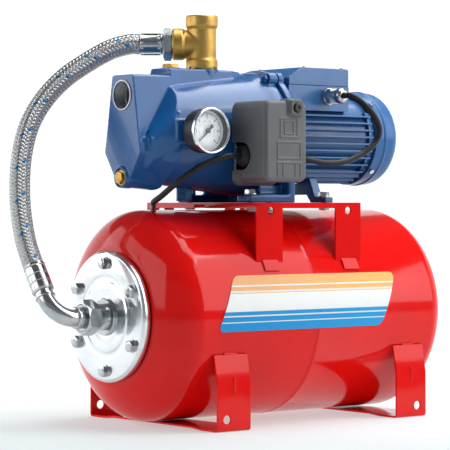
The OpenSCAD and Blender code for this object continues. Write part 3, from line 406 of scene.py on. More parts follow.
def along_x(z=0.0, y=0.0, x=0.0):
    """Turns a lathe about +Z into one about +X through (x, y, z)."""
    return at(x, y, z) @ X_AXIS


def along_minus_y(x, z, y=0.0):
    """Turns a lathe about +Z into one about -Y through (x, y, z)."""
    return at(x, y, z) @ Matrix.Rotation(math.pi / 2, 4, "X")


def at(x=0.0, y=0.0, z=0.0):
    return Matrix.Translation((x, y, z))


GAUGE_AXIS = along_minus_y(GAUGE_X, GAUGE_Z)
SWITCH_PIPE_AXIS = along_minus_y(-72, 332)


def finish_piece(obj, body, materials, replaced=(), angle=35):
    if not any(obj.data.materials):
        obj.data.materials.clear()
        for material in materials:
            obj.data.materials.append(material)
    if obj.type == "MESH":
        obj.data.shade_smooth()
        obj.data.set_sharp_from_angle(angle=math.radians(angle))
    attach(obj, body)
    if replaced:
        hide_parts(*replaced)
    return obj


def object_from(bm, name):
    mesh = bpy.data.meshes.new(name)
    bm.to_mesh(mesh)
    bm.free()
    obj = bpy.data.objects.new(name, mesh)
    bpy.context.scene.collection.objects.link(obj)
    return obj


def ear(degrees, x=0.0):
    """Place on the rim of the casing, at one of its bolt ears."""
    return at(0, 0, PUMP_AXIS_Z) @ Matrix.Rotation(math.radians(degrees), 4, "X") @ at(x, 0, 84)


def arc(x, y, start, end, steps, across, up=None):
    """Points of an ellipse about (x, y), from one angle to another in degrees."""
    up = across if up is None else up
    angles = [math.radians(start + (end - start) * k / steps) for k in range(steps + 1)]
    return [(x + across * math.cos(a), y + up * math.sin(a)) for a in angles]


def hoop(centre, u, v, radius, steps):
    """Points of a circle about a centre, in the plane of two unit vectors."""
    return [centre + radius * (math.cos(TAU * k / steps) * u + math.sin(TAU * k / steps) * v)
            for k in range(steps)]


def add_lathe(bm, profile, matrix, steps=128, closed=True):
    """Adds a closed ring profile of (radius, height) points, turned about +Z, in mm."""
    rings = []
    for radius, height in profile:
        if radius < 1e-6:
            rings.append([bm.verts.new(matrix @ Vector((0, 0, height)) * MM)])
            continue
        rings.append([
            bm.verts.new(matrix @ Vector((radius * math.cos(TAU * k / steps),
                                          radius * math.sin(TAU * k / steps), height)) * MM)
            for k in range(steps)])
    pairs = list(zip(rings, rings[1:]))
    if closed:
        pairs.append((rings[-1], rings[0]))
    for a, b in pairs:
        if len(a) == 1 and len(b) == 1:
            continue
        for k in range(steps):
            n = (k + 1) % steps
            corners = [a[0] if len(a) == 1 else a[k]]
            if len(a) > 1:
                corners.append(a[n])
            if len(b) > 1:
                corners += [b[n], b[k]]
            else:
                corners.append(b[0])
            bm.faces.new(corners)


def add_prism(bm, outline, matrix, low, high):
    """Adds an extruded outline of (x, y) points between two heights, in mm."""
    rings = [[bm.verts.new(matrix @ Vector((x, y, z)) * MM) for x, y in outline]
             for z in (low, high)]
    count = len(outline)
    bm.faces.new(reversed(rings[0]))
    bm.faces.new(rings[1])
    for k in range(count):
        n = (k + 1) % count
        bm.faces.new([rings[0][k], rings[0][n], rings[1][n], rings[1][k]])


def add_loft(bm, rings):
    """Adds a closed skin through rings of equal length, in mm, with its two end caps."""
    made = [[bm.verts.new(Vector(p) * MM) for p in ring] for ring in rings]
    for a, b in zip(made, made[1:]):
        for k in range(len(a)):
            n = (k + 1) % len(a)
            bm.faces.new([a[k], a[n], b[n], b[k]])
    bm.faces.new(reversed(made[0]))
    bm.faces.new(made[-1])


def add_box(bm, x, y, z):
    corners = [(x[0], y[0]), (x[1], y[0]), (x[1], y[1]), (x[0], y[1])]
    add_prism(bm, corners, Matrix.Identity(4), z[0], z[1])


def add_hex(bm, matrix, across, low, high, bore=0.01, cut_low=False):
    """Adds a hexagon whose corners are cut back by a cone, as a turned nut's are."""
    steps = 72

    def reach(k):
        turn = (TAU * k / steps) % (TAU / 6) - TAU / 12
        return across / 2 / math.cos(turn)

    def ring(radii, heights):
        return [bm.verts.new(matrix @ Vector((r * math.cos(TAU * k / steps),
                                              r * math.sin(TAU * k / steps), h)) * MM)
                for k, (r, h) in enumerate(zip(radii, heights))]

    round_r = across * 0.475
    reaches = [reach(k) for k in range(steps)]
    drop = [max(0.0, (r - round_r) * math.tan(math.radians(30))) for r in reaches]
    rings = []
    if cut_low:
        rings += [ring([round_r] * steps, [low] * steps), ring(reaches, [low + d for d in drop])]
    else:
        rings += [ring(reaches, [low] * steps)]
    rings += [ring(reaches, [high - d for d in drop]), ring([round_r] * steps, [high] * steps),
              ring([bore] * steps, [high] * steps), ring([bore] * steps, [low] * steps)]
    for a, b in zip(rings, rings[1:] + rings[:1]):
        for k in range(steps):
            n = (k + 1) % steps
            bm.faces.new([a[k], a[n], b[n], b[k]])


def fillet(points, radius, steps=5):
    """Rounds the inner corners of an open (radius, height) profile by the given radius."""
    out = [points[0]]
    for a, b, c in zip(points, points[1:], points[2:]):
        va = Vector(a) - Vector(b)
        vc = Vector(c) - Vector(b)
        reach = min(radius, va.length * 0.45, vc.length * 0.45)
        p, q = Vector(b) + va.normalized() * reach, Vector(b) + vc.normalized() * reach
        for k in range(steps + 1):
            t = k / steps
            out.append(tuple((1 - t) ** 2 * p + 2 * t * (1 - t) * Vector(b) + t * t * q))
    out.append(points[-1])
    return out


def rounded(x, z, r, steps=6, shrink=0.0):
    """Rounded rectangle outline."""
    out = []
    for cx, cz, start in ((x[1] - r, z[1] - r, 0), (x[0] + r, z[1] - r, 90),
                          (x[0] + r, z[0] + r, 180), (x[1] - r, z[0] + r, 270)):
        out += arc(cx, cz, start, start + 90, steps, r - shrink)
    return out


def evaluated(obj):
    """Replaces an object's mesh with its modified one and clears the modifiers."""
    graph = bpy.context.evaluated_depsgraph_get()
    mesh = bpy.data.meshes.new_from_object(obj.evaluated_get(graph))
    obj.modifiers.clear()
    obj.data = mesh
    return obj


def boolean(target, parts, kind):
    for part in parts:
        cut = target.modifiers.new("cut", "BOOLEAN")
        cut.operation = kind
        cut.object = part
        cut.solver = "MANIFOLD"
        cut.material_mode = "TRANSFER"
    evaluated(target)
    for part in parts:
        bpy.data.objects.remove(part)
    return target


def cast(obj, voxel, smooth):
    """Fuses a rough assembly into one casting with soft inner and outer corners."""
    mesh = obj.modifiers.new("fuse", "REMESH")
    mesh.mode = "VOXEL"
    mesh.voxel_size = voxel * MM
    soft = obj.modifiers.new("soft", "SMOOTH")
    soft.factor = 0.5
    soft.iterations = smooth
    return evaluated(obj)


def rod(radius, low, high):
    """Profile of a plain cylinder."""
    return [(0, low), (radius, low), (radius, high), (0, high)]


def tube(inner, outer, low, high):
    """Profile of a plain ring."""
    return [(inner, low), (outer, low), (outer, high), (inner, high)]


def part(name, build):
    bm = bmesh.new()
    build(bm)
    bmesh.ops.recalc_face_normals(bm, faces=bm.faces)
    return object_from(bm, name)


def turned(name, profile, matrix, steps=64):
    """A solid turned from a profile that starts and ends on its axis."""
    return part(name, lambda bm: add_lathe(bm, profile, matrix, steps, False))


def new_piece(name, build, slot, replaced=(), body="pump_set", angle=35, material=None):
    """Builds a finished piece of one material, the slot's own unless another is given."""
    materials = [material or MATERIALS[slot]]
    return finish_piece(part(name, build), body, materials, replaced, angle)


def lathe_piece(name, profile, matrix, slot, replaced=(), steps=128, angle=35, material=None):
    return new_piece(name, lambda bm: add_lathe(bm, profile, matrix, steps), slot, replaced,
                     angle=angle, material=material)


# ------------------------------------------------------------------ cords

CORD_R = 3.75
HOSE_R = 13
HOSE_ROUTE = [
    (-153.2, 48.9, 473), (-163, 56.7, 473), (-183, 71, 466), (-209, 86, 449),
    (-236, 98, 428), (-260, 106, 401), (-280, 107, 370), (-294, 102, 335),
    (-304, 92, 299), (-311, 79, 264), (-315, 63, 229), (-316, 49.6, 206.9),
    (-316, 42.8, 197),
]
LINK_ROUTE = [
    (75, -82.2, 410.5), (75, -91, 410.5), (75.5, -100, 408.5), (77.5, -108, 404),
    (82, -114, 397), (88, -118.5, 389), (94, -121, 380), (98, -122.5, 370),
    (97.5, -123, 360), (92, -122, 350.5), (83, -121, 342.5), (71, -119, 335),
    (48, -116, 326), (20, -112, 323.4), (-5, -107.5, 327), (-22, -104.5, 331),
    (-33.8, -104, 332),
]
MAINS_ROUTE = [
    (-110.2, -98, 331), (-119, -97, 331), (-131, -94, 329), (-146, -90, 324),
    (-161, -85, 317.5), (-173, -79, 309), (-183, -72, 300), (-190, -62, 290),
    (-194, -50, 281), (-193, -36, 275.5), (-184, -22, 273), (-172, -6, 272.5),
    (-158, 12, 271.5), (-146, 30, 268.5), (-135, 50, 262), (-126, 70, 251.5),
    (-119, 88, 238), (-113, 106, 220), (-108, 122, 196), (-105, 133, 170),
    (-103, 140, 144), (-101, 144, 118), (-99, 147, 92), (-95, 150, 66),
    (-88, 153, 42), (-76, 155, 23), (-58, 156, 10), (-36, 157, 4.5),
    (-12, 157, 3.9), (14, 157, 3.9), (40, 157, 3.9), (66, 156.4, 3.9), (92, 155.2, 3.9),
    (116, 153.8, 3.9),
]
TRACER_AT = 24
COIL_AT = (140, 198)
PLUG_TAIL = [(127, 239, 11.6), (116, 239, 15), (104, 239, 18.7), (92.3, 239, 19)]


def blend_between(angle, start, end, a, b):
    t = min(1.0, max(0.0, (angle - start) / (end - start)))
    return a + (b - a) * t * t * (3 - 2 * t)


def coil_points():
    """Two rings on the floor, outer then inner, and half a turn lying in their groove."""
    points = []
    angle = -90.0
    while angle <= 810.0:
        r = blend_between(angle, 205, 270, 44.75, 37.2)
        r = blend_between(angle, 540, 572, r, 41)
        z = blend_between(angle, 478, 545, 3.85, 11.2)
        z = blend_between(angle, 650, 700, z, 10.4)
        turn = math.radians(angle)
        points.append((COIL_AT[0] + r * math.cos(turn), COIL_AT[1] + r * math.sin(turn), z))
        angle += 18.0
    return points


def route_length(points):
    return sum((Vector(b) - Vector(a)).length for a, b in zip(points, points[1:])) * MM


def cord_curve(name, points, radius, slot):
    data = bpy.data.curves.new(name, "CURVE")
    data.dimensions = "3D"
    data.bevel_depth = radius * MM
    data.bevel_resolution = 6
    data.resolution_u = 8
    data.use_fill_caps = True
    line = data.splines.new("BEZIER")
    line.bezier_points.add(len(points) - 1)
    vectors = [Vector(p) * MM for p in points]
    for i, (knot, place) in enumerate(zip(line.bezier_points, vectors)):
        before, after = vectors[max(i - 1, 0)], vectors[min(i + 1, len(vectors) - 1)]
        tangent = (after - before).normalized()
        knot.co = place
        knot.handle_left_type = knot.handle_right_type = "FREE"
        knot.handle_left = place - tangent * (place - before).length / 3
        knot.handle_right = place + tangent * (after - place).length / 3
    obj = bpy.data.objects.new(name, data)
    bpy.context.scene.collection.objects.link(obj)
    data.materials.append(MATERIALS[slot])
    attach(obj, "pump_set")
    return obj


def smooth_route(points, spacing):
    """Points evenly spaced along a smooth line through a route's own points, in mm."""
    vectors = [Vector(p) for p in points]
    vectors = [2 * vectors[0] - vectors[1]] + vectors + [2 * vectors[-1] - vectors[-2]]
    dense = []
    for a, b, c, d in zip(vectors, vectors[1:], vectors[2:], vectors[3:]):
        for k in range(24):
            t = k / 24
            dense.append(0.5 * (2 * b + (c - a) * t + (2 * a - 5 * b + 4 * c - d) * t * t
                                + (3 * b - a - 3 * c + d) * t ** 3))
    dense.append(vectors[-2])
    even, gone = [dense[0]], 0.0
    for a, b in zip(dense, dense[1:]):
        step = (b - a).length
        while gone + step >= spacing:
            part_way = (spacing - gone) / step
            a = a + (b - a) * part_way
            even.append(a.copy())
            step = (b - a).length
            gone = 0.0
        gone += step
    if (even[-1] - dense[-1]).length > spacing * 0.3:
        even.append(dense[-1])
    return even


def route_frames(points):
    """Tangent and two side directions at each point, carried along without twist."""
    frames = []
    side = Vector((0.13, 0.29, 0.95))
    for i in range(len(points)):
        ahead = points[min(i + 1, len(points) - 1)] - points[max(i - 1, 0)]
        t = ahead.normalized()
        side = (side - t * side.dot(t)).normalized()
        frames.append((t, side, t.cross(side)))
    return frames


def braided_hose():
    """Rubber core under two sets of wire ribbons woven over two and under two."""
    carriers, per_cross, pitch = 18, 3, 88.0
    cross = pitch / (carriers * 2)
    points = smooth_route(HOSE_ROUTE, cross / per_cross)
    frames = route_frames(points)
    bm = bmesh.new()
    layout = bm.loops.layers.uv.new("layout")
    add_loft(bm, [hoop(p, s, b, HOSE_R - 1.3, 24) for p, (t, s, b)
                  in list(zip(points, frames))[::4] + [(points[-1], frames[-1])]])
    half = 0.5 * TAU / carriers * 0.93
    across = (-1.0, -0.5, 0.0, 0.5, 1.0)
    for direction in (1, -1):
        for c in range(carriers):
            previous = None
            for i, (p, (t, s, b)) in enumerate(zip(points, frames)):
                n = i / per_cross
                turn = direction * TAU * n * cross / pitch + TAU * c / carriers
                over = n - 0.5 if direction > 0 else n - 1.5
                lift = 0.42 * math.cos(math.pi / 2 * over + math.pi * c)
                step = (math.floor(n + 0.5) + 18 * (c % 2)) % 36
                traced = direction > 0 and c in (0, 9) and (step - TRACER_AT) % 36 in (0, 1, 4, 5)
                ring = []
                for w in across:
                    a = turn + w * half
                    r = HOSE_R - 0.76 + lift + 0.32 * (1 - w * w)
                    ring.append(bm.verts.new((p + r * (math.cos(a) * s + math.sin(a) * b)) * MM))
                if previous:
                    for j in range(len(across) - 1):
                        face = bm.faces.new([previous[j], previous[j + 1], ring[j + 1], ring[j]])
                        face.material_index = 2 if traced else 1
                        spots = [(i - 1, j), (i - 1, j + 1), (i, j + 1), (i, j)]
                        for loop, (u, v) in zip(face.loops, spots):
                            loop[layout].uv = (u * 0.25, v / (len(across) - 1))
                previous = ring
    obj = object_from(bm, "hose_braided")
    for material in (MATERIALS["black_rubber"], BRAID_PLAIN, BRAID_BLUE):
        obj.data.materials.append(material)
    finish_piece(obj, "pump_set", [], ("hose",), 60)
    [c * MM for c in HOSE_ROUTE[0]]
    route_length(HOSE_ROUTE)
    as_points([tuple(p * MM) for p in points[::8]] + [tuple(points[-1] * MM)])


def make_cords():
    link = cord_curve("link_cord", LINK_ROUTE, CORD_R, "black_rubber")
    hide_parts("link_cable")
    [c * MM for c in LINK_ROUTE[0]]
    route_length(LINK_ROUTE)
    mains_points = MAINS_ROUTE + coil_points() + PLUG_TAIL
    mains = cord_curve("mains_cord", mains_points, CORD_R, "black_rubber")
    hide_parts("mains_cable", "mains_coil")
    [c * MM for c in MAINS_ROUTE[0]]
    route_length(mains_points)
    braided_hose()


make_cords()

# ------------------------------------------------------------------ tank


def make_tank():
    r, wall, seam = TANK_R, 1.5, -8.5
    seat, seat_inside = math.degrees(math.asin(44 / 58)), math.degrees(math.asin(37 / 56.5))
    front = [(r - wall, seam - 0.15), (r + 0.1, seam - 0.15), (r + 0.5, seam - 0.8),
             (r + 0.5, seam - 1.6), (r + 0.05, seam - 2.6), (r, seam - 6)]
    front += arc(0, -185, 0, seat, 28, r, -58) + [(50, -229), (50, -222)]
    front += arc(0, -185, seat_inside, 0, 28, r - wall, -56.5)
    lathe_piece("tank_front", front, along_x(TANK_AXIS_Z), "red_paint", ("tank_front_shell",), 256)
    rear = [(r - wall, seam + 0.1), (r, seam + 0.1), (r + 0.35, seam + 0.5), (r + 0.35, seam + 1.4),
            (r, seam + 2.2)]
    rear += arc(0, 182, 0, 87.8, 28, r, 58) + [(5.1, 239.9), (5.1, 238.3)]
    rear += arc(0, 182, 87.5, 0, 28, r - wall, 56.5)
    lathe_piece("tank_rear", rear, along_x(TANK_AXIS_Z), "red_paint", ("tank_rear_shell",), 256)
    flange = fillet([(17.2, -237.5), (17.2, -241), (42.6, -241), (44.6, -239.9), (49.4, -239.9),
                     (51.8, -241), (76.6, -241), (80, -238.6), (80, -231), (77.2, -231),
                     (77.2, -237.5), (58, -237.5), (58, -231), (50, -231), (50, -237.5),
                     (17.2, -237.5)], 0.8, 3)
    lathe_piece("flange_disc", flange, along_x(TANK_AXIS_Z), "polished_steel", ("tank_flange",),
                192, 28)


def head_bolts(name, places, across, height, washer, shank, replaced, slot="plated_steel",
               shank_r=3.9):
    """Hexagon bolts with washers, each placed by a matrix whose +Z leaves the bearing face."""
    def build(bm):
        for matrix in places:
            base = 0.0
            if washer:
                add_lathe(bm, fillet(tube(shank_r, washer, 0, 1.6), 0.3, 2), matrix, 48)
                base = 1.55
            add_hex(bm, matrix, across, base, base + height)
            crown = base + height
            add_lathe(bm, [(0, crown - 0.2), (across * 0.30, crown - 0.2),
                           (across * 0.28, crown + 0.15), (0, crown + 0.22)], matrix, 32, False)
            add_lathe(bm, [(0, -shank), (shank_r - 0.5, -shank), (shank_r, -shank + 0.8),
                           (shank_r, 0.1), (0, 0.1)], matrix, 32, False)

    new_piece(name, build, slot, replaced)


def make_bolts():
    flange = [at(0, 0, TANK_AXIS_Z) @ Matrix.Rotation(TAU * i / 6, 4, "X") @ at(-241, 0, 65.5)
              @ Matrix.Rotation(-math.pi / 2, 4, "Y") @ Matrix.Rotation(0.3 + i * 0.7, 4, "Z")
              for i in range(6)]
    head_bolts("flange_screws", flange, 13, 5.1, 8, 18.5, ("flange_bolts",))
    mounts = []
    for side in (-1, 1):
        mounts.append(at(-63, side * 62, 284.05) @ Matrix.Rotation(0.4 * side, 4, "Z"))
        mounts.append(at(63.5, side * 55, 281.05) @ Matrix.Rotation(0.2 + side, 4, "Z"))
    head_bolts("mounting_screws", mounts, 13, 5.1, 8, 17, ("mounting_bolts",))

    def nuts(bm):
        for x, y in ((-63, 62), (63.5, 55)):
            for side in (-1, 1):
                add_hex(bm, at(x, side * y, 264.9), 13, 0, 6.5, 3.95, True)

    new_piece("mounting_nuts", nuts, "plated_steel")
    casing = [ear(a, -24.1) @ Matrix.Rotation(-math.pi / 2, 4, "Y") for a in EAR_ANGLES]
    head_bolts("casing_screws", casing, 10, 4.6, 0, 23.5, ("casing_bolts",), "blue_paint", 3.1)


def make_label():
    """Thin printed sheet wrapped round the tank, with its own layout map for the print."""
    bottom, top, slant, left, right, corner = 119, 186, 30, -168, 95, 9
    columns, rows = 96, 28
    radius = TANK_R + 0.62
    ups = [0.5 - 0.5 * math.cos(math.pi * j / rows) for j in range(rows + 1)]

    def edge(v):
        """Left and right ends of the row at height fraction v, with rounded corners."""
        z = bottom + (top - bottom) * v
        shift = slant * v
        pull = 0.0
        for d in (z - bottom, top - z):
            if d < corner:
                pull = corner - math.sqrt(max(0.0, corner ** 2 - (corner - d) ** 2))
        return left + shift + pull, right + shift - pull, z

    bm = bmesh.new()
    layout = bm.loops.layers.uv.new("layout")
    grids = []
    for lift in (0.0, 0.32):
        grid = []
        for v in ups:
            x0, x1, z = edge(v)
            y = -math.sqrt((radius + lift) ** 2 - (z - TANK_AXIS_Z) ** 2)
            grid.append([bm.verts.new(Vector((x0 + (x1 - x0) * i / columns, y, z)) * MM)
                         for i in range(columns + 1)])
        grids.append(grid)

    def face(corners, spots):
        made = bm.faces.new(corners)
        for loop, uv in zip(made.loops, spots):
            loop[layout].uv = uv

    for grid in grids:
        for j in range(rows):
            for i in range(columns):
                spots = [(i, j), (i + 1, j), (i + 1, j + 1), (i, j + 1)]
                face([grid[n][m] for m, n in spots], [(m / columns, ups[n]) for m, n in spots])
    low, high = grids
    border = ([(j, 0) for j in range(rows + 1)] + [(rows, i) for i in range(1, columns + 1)]
              + [(j, columns) for j in range(rows - 1, -1, -1)]
              + [(0, i) for i in range(columns - 1, 0, -1)])
    for a, b in zip(border, border[1:] + border[:1]):
        ring = [low[a[0]][a[1]], low[b[0]][b[1]], high[b[0]][b[1]], high[a[0]][a[1]]]
        face(ring, [(0.5, 0.5)] * 4)
    bmesh.ops.recalc_face_normals(bm, faces=bm.faces)
    obj = object_from(bm, "tank_sticker")
    finish_piece(obj, "pump_set", [MATERIALS["label_film"]], ("tank_label",), 50)


def make_foot_details():
    """Weld beads along the flaps' top edges and a pressed stiffener over each fold."""
    def beads(bm):
        for x in (-FOOT_X, FOOT_X):
            for side in (-1, 1):
                weld = along_x(92.6, side * 123.9, x - 10)
                add_lathe(bm, [(0, 0), (1.3, 0.4), (1.7, 2), (1.5, 7), (1.8, 12), (1.5, 16),
                               (1.2, 19.6), (0, 20)], weld, 20, False)
                rib = at(x, side * (FOOT_Y - 0.5), FOOT_FOLD_Z - 12)
                add_lathe(bm, [(0, 0), (1.3, 1.4), (1.9, 4), (1.9, 12), (1.5, 17), (0, 21)],
                          rib, 24, False)

    new_piece("foot_welds", beads, "red_paint", angle=50)


make_tank()
make_bolts()
make_label()
make_foot_details()

# ------------------------------------------------------------------ pump casing


def front_outline():
    """Lower part of the front plate in (y, z): flared sides and a round drain boss."""
    out = [(35.2, 352), (-35.2, 352)]
    for y, z, r, start, end in ((-27, 338, 10, 160, 222), (-3, 305.5, 12.6, 190, 268),
                                (3, 305.5, 12.6, 272, 350), (27, 338, 10, 318, 380)):
        out += arc(y, z, start, end, 8, r)
    return out


def yz_ring(x, outline):
    return [(x, y, z) for y, z in outline]


def casing_blank(bm):
    drum = fillet([(0, -203), (50, -203), (60, -176), (64, -150), (77.5, -36), (81, -24),
                   (81, -10.4), (0, -10.4)], 7, 6)
    add_lathe(bm, drum, along_x(PUMP_AXIS_Z), 160, False)


def facet_normal(side):
    """Outward direction of one slanted facet of the drum."""
    return Vector((-0.76, 0.263 * side, 0.595)).normalized()


def casing_facet(side):
    """Half space in front of one slanted facet of the drum, as a big prism to cut away."""
    normal = facet_normal(side)
    origin = Vector((-161.7, 21.5 * side, 416.6))
    u = normal.cross(Vector((0, 1, 0))).normalized()
    v = normal.cross(u)
    ring = [origin + 150 * (a * u + b * v) for a, b in ((-1, -1), (1, -1), (1, 1), (-1, 1))]
    return part("facet", lambda bm: add_loft(bm, [ring, [p + normal * 90 for p in ring]]))


def side_y(z):
    """Half width of the flat-sided front and channel at a height."""
    return 22 + (426 - z) * 0.165


def spine(bm):
    """Flat-sided water channel: sides lean in to the top and the top steps up at the back."""
    def section(x, low, top, r=2.5):
        return [(x, side_y(low), low), (x, side_y(top - r), top - r),
                (x, side_y(top) - r * 0.3, top - r * 0.3), (x, side_y(top) - r, top),
                (x, r - side_y(top), top), (x, r * 0.3 - side_y(top), top - r * 0.3),
                (x, -side_y(top - r), top - r), (x, -side_y(low), low)]
    add_loft(bm, [section(-215, 343, 430.6), section(-156, 343, 431.5)])
    add_loft(bm, [section(-157.5, 395, 440.8), section(-58, 395, 440.6),
                  [(x + 19, y * 0.55, z) for x, y, z in section(-58, 395, 439.5)]])


def lower_front(bm):
    """Lower half of the front: the plate's flare and drain boss drawn back to the drum."""
    keep = front_outline()
    wide = []
    for y, z in keep:
        if z >= 345:
            wide.append((math.copysign(57, y), 385))
            continue
        reach = math.hypot(y, z - 352)
        wide.append((y * 63 / reach, 352 + (z - 352) * 63 / reach))
    shoulder = [(y * 1.04, 340 + (z - 340) * 1.02) for y, z in keep]
    add_loft(bm, [yz_ring(-215, keep), yz_ring(-209, keep), yz_ring(-204, shoulder),
                  yz_ring(-170, wide)])


def facet_groove(bm, side):
    """Short hollow along the foot of the ridge, on the slanted facet."""
    foot = Vector((-214.5, 35.6 * side, 343.4))
    run = (Vector((-161.7, 23.5 * side, 416.6)) - foot).normalized()
    out = facet_normal(side)
    across = run.cross(out) * side
    start = foot + run * 4 - across * 2.3
    add_loft(bm, [[start + run * far + across * a + out * b
                   for a, b in ((-1.5, -2.6), (1.2, -1.6), (1.6, 4), (-1.8, 4))]
                  for far in (0, 19)])


def thread_profile(radius, depth, start, pitch=2.3, tooth=0.9):
    """Profile of a threaded bore from its mouth inwards."""
    points = [(0, start), (radius + 0.8, start)]
    h = start + 1.2
    while h < start + depth:
        points += [(radius - tooth / 2, h), (radius + tooth / 2, h + pitch / 2)]
        h += pitch
    return points + [(radius - 1.5, h), (0, h)]


def casing_bosses(bm):
    """Channel, port bosses and bolt ears that the casing grows out of the drum."""
    spine(bm)
    add_lathe(bm, [(0, 425), (15.8, 425), (15.6, 440.3), (14.8, 441), (0, 441)], at(PRIMING_X),
              64, False)
    add_lathe(bm, [(0, 418), (22, 418), (21.4, 441.2), (0, 441.2)], at(OUTLET_X), 64, False)
    add_lathe(bm, [(10.4, -205), (14, -205), (13.2, -218.6), (10.9, -218.6)],
              along_x(DRAIN_Z + 0.5), 64)
    add_box(bm, (-178, -128), (-63.2, -40), (348, 375))
    add_lathe(bm, [(0, 40), (15, 40), (12, 56), (11, 66), (0, 66)], GAUGE_AXIS, 48, False)
    add_lathe(bm, [(0, 50), (15, 50), (12, 62), (11, 70.4), (0, 70.4)], SWITCH_PIPE_AXIS, 48, False)
    add_hex(bm, at(-120, 0, 276), 19, 0, 22)
    for a in EAR_ANGLES:
        add_lathe(bm, rod(8.4, -24, -10.5), ear(a) @ X_AXIS, 48, False)


def joined(name, parts):
    """One object with the meshes of several, which are removed."""
    bm = bmesh.new()
    for obj in parts:
        bm.from_mesh(obj.data)
        bpy.data.objects.remove(obj)
    return object_from(bm, name)


def make_casing():
    drum = part("casing", casing_blank)
    boolean(drum, [part("front", lower_front)], "UNION")
    boolean(drum, [casing_facet(-1), casing_facet(1)], "DIFFERENCE")
    body = joined("pump_casing", [drum, part("casing_extra", casing_bosses)])
    cast(body, 1.2, 3)
    slots = (MATERIALS["blue_paint"], BARE_IRON, MACHINED)
    for material in slots:
        body.data.materials.append(material)

    def cutter(obj, index):
        for material in slots:
            obj.data.materials.append(material)
        for face in obj.data.polygons:
            face.material_index = index
        return obj

    pump_axis, suction_axis = along_x(PUMP_AXIS_Z), along_x(SUCTION_Z)
    bores = [
        turned("cavity", [(0, -168), (46, -168), (56, -160), (73, -21), (70.2, -21), (70.2, 5),
                          (0, 5)], pump_axis, 96),
        turned("eye", rod(15.2, -206, -160), pump_axis),
        turned("suction", thread_profile(16.6, 17, -216.5), suction_axis),
        turned("suction_deep", rod(13, -200, -190), suction_axis),
        turned("drop", rod(11, 359, 406), at(-199), 48),
        turned("outlet", [(0, 370), (12, 370), (12, 425), (16.75, 425), (16.75, 450), (0, 450)],
               at(OUTLET_X)),
        turned("priming", rod(9.05, 400, 450), at(PRIMING_X), 48),
    ]
    painted = [
        turned("drain", [(0, -230), (11.2, -230), (10.7, -215.2), (6.7, -215.1), (6.7, -196),
                         (0, -196)], along_x(DRAIN_Z)),
        part("drain_side", lambda bm: facet_groove(bm, -1)),
        part("drain_far_side", lambda bm: facet_groove(bm, 1)),
    ]
    threads = [
        turned("gauge_thread", rod(6.7, 45, 70), GAUGE_AXIS, 48),
        turned("switch_thread", rod(6.7, 50, 75), SWITCH_PIPE_AXIS, 48),
    ]
    threads += [turned("bolt_hole", rod(3.25, -30, 0), ear(a) @ X_AXIS, 32) for a in EAR_ANGLES]
    boolean(body, [cutter(obj, index) for group, index in ((bores, 1), (painted, 0), (threads, 1))
                   for obj in group], "DIFFERENCE")
    finish_piece(body, "pump_set", [], ("pump_body",), 30)
    ring = fillet([(16.9, -212), (16.9, -216.4), (18.9, -216.4), (19.2, -214.5), (19.2, -212)],
                  0.4, 3)
    lathe_piece("suction_ring", ring, suction_axis, "alloy", steps=96, material=MACHINED)


def recast(node, name, voxel, smooth, slot):
    """A softened casting made from a CAD node's own mesh."""
    obj = nodes[node].copy()
    obj.data = nodes[node].data.copy()
    obj.parent = None
    obj.name = name
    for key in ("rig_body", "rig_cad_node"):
        if key in obj:
            del obj[key]
    bpy.context.scene.collection.objects.link(obj)
    obj.data.materials.clear()
    cast(obj, voxel, smooth)
    return finish_piece(obj, "pump_set", [MATERIALS[slot]], (node,), 30)


make_casing()
recast("motor_bracket", "bracket_casting", 1.3, 3, "blue_paint")
recast("motor_foot", "motor_foot_casting", 0.9, 3, "blue_motor")

# ------------------------------------------------------------------ plugs and brass tee


def make_plugs():
    def priming(bm):
        axis = at(PRIMING_X)
        add_hex(bm, at(PRIMING_X, 0, 441.9), 19, 0, 4.6)
        add_lathe(bm, fillet(tube(8.9, 11.5, 441.2, 442), 0.3, 2), axis, 64)
        add_lathe(bm, [(0, 426), (8, 426), (8.95, 427), (8.95, 441.3), (0, 441.3)],
                  axis, 48, False)

    new_piece("priming_cap", priming, "cast_brass", ("priming_plug",), "priming_plug")

    def drain(bm):
        turn = (at(0, 0, DRAIN_Z) @ Matrix.Rotation(-math.pi / 2, 4, "Y")
                @ Matrix.Rotation(0.26, 4, "Z"))
        add_hex(bm, turn, 14, 217, 221.6)
        add_lathe(bm, fillet(tube(6.5, 9.5, 215.2, 217.2), 0.4, 2), turn, 64)
        add_lathe(bm, [(0, 201), (6, 201), (6.55, 202), (6.55, 215.3), (0, 215.3)],
                  turn, 48, False)

    new_piece("drain_cap", drain, "cast_brass", ("drain_plug",), "drain_plug")


OUTLET = at(OUTLET_X, 0, 473) @ Matrix.Rotation(math.radians(141.5), 4, "Z") @ X_AXIS


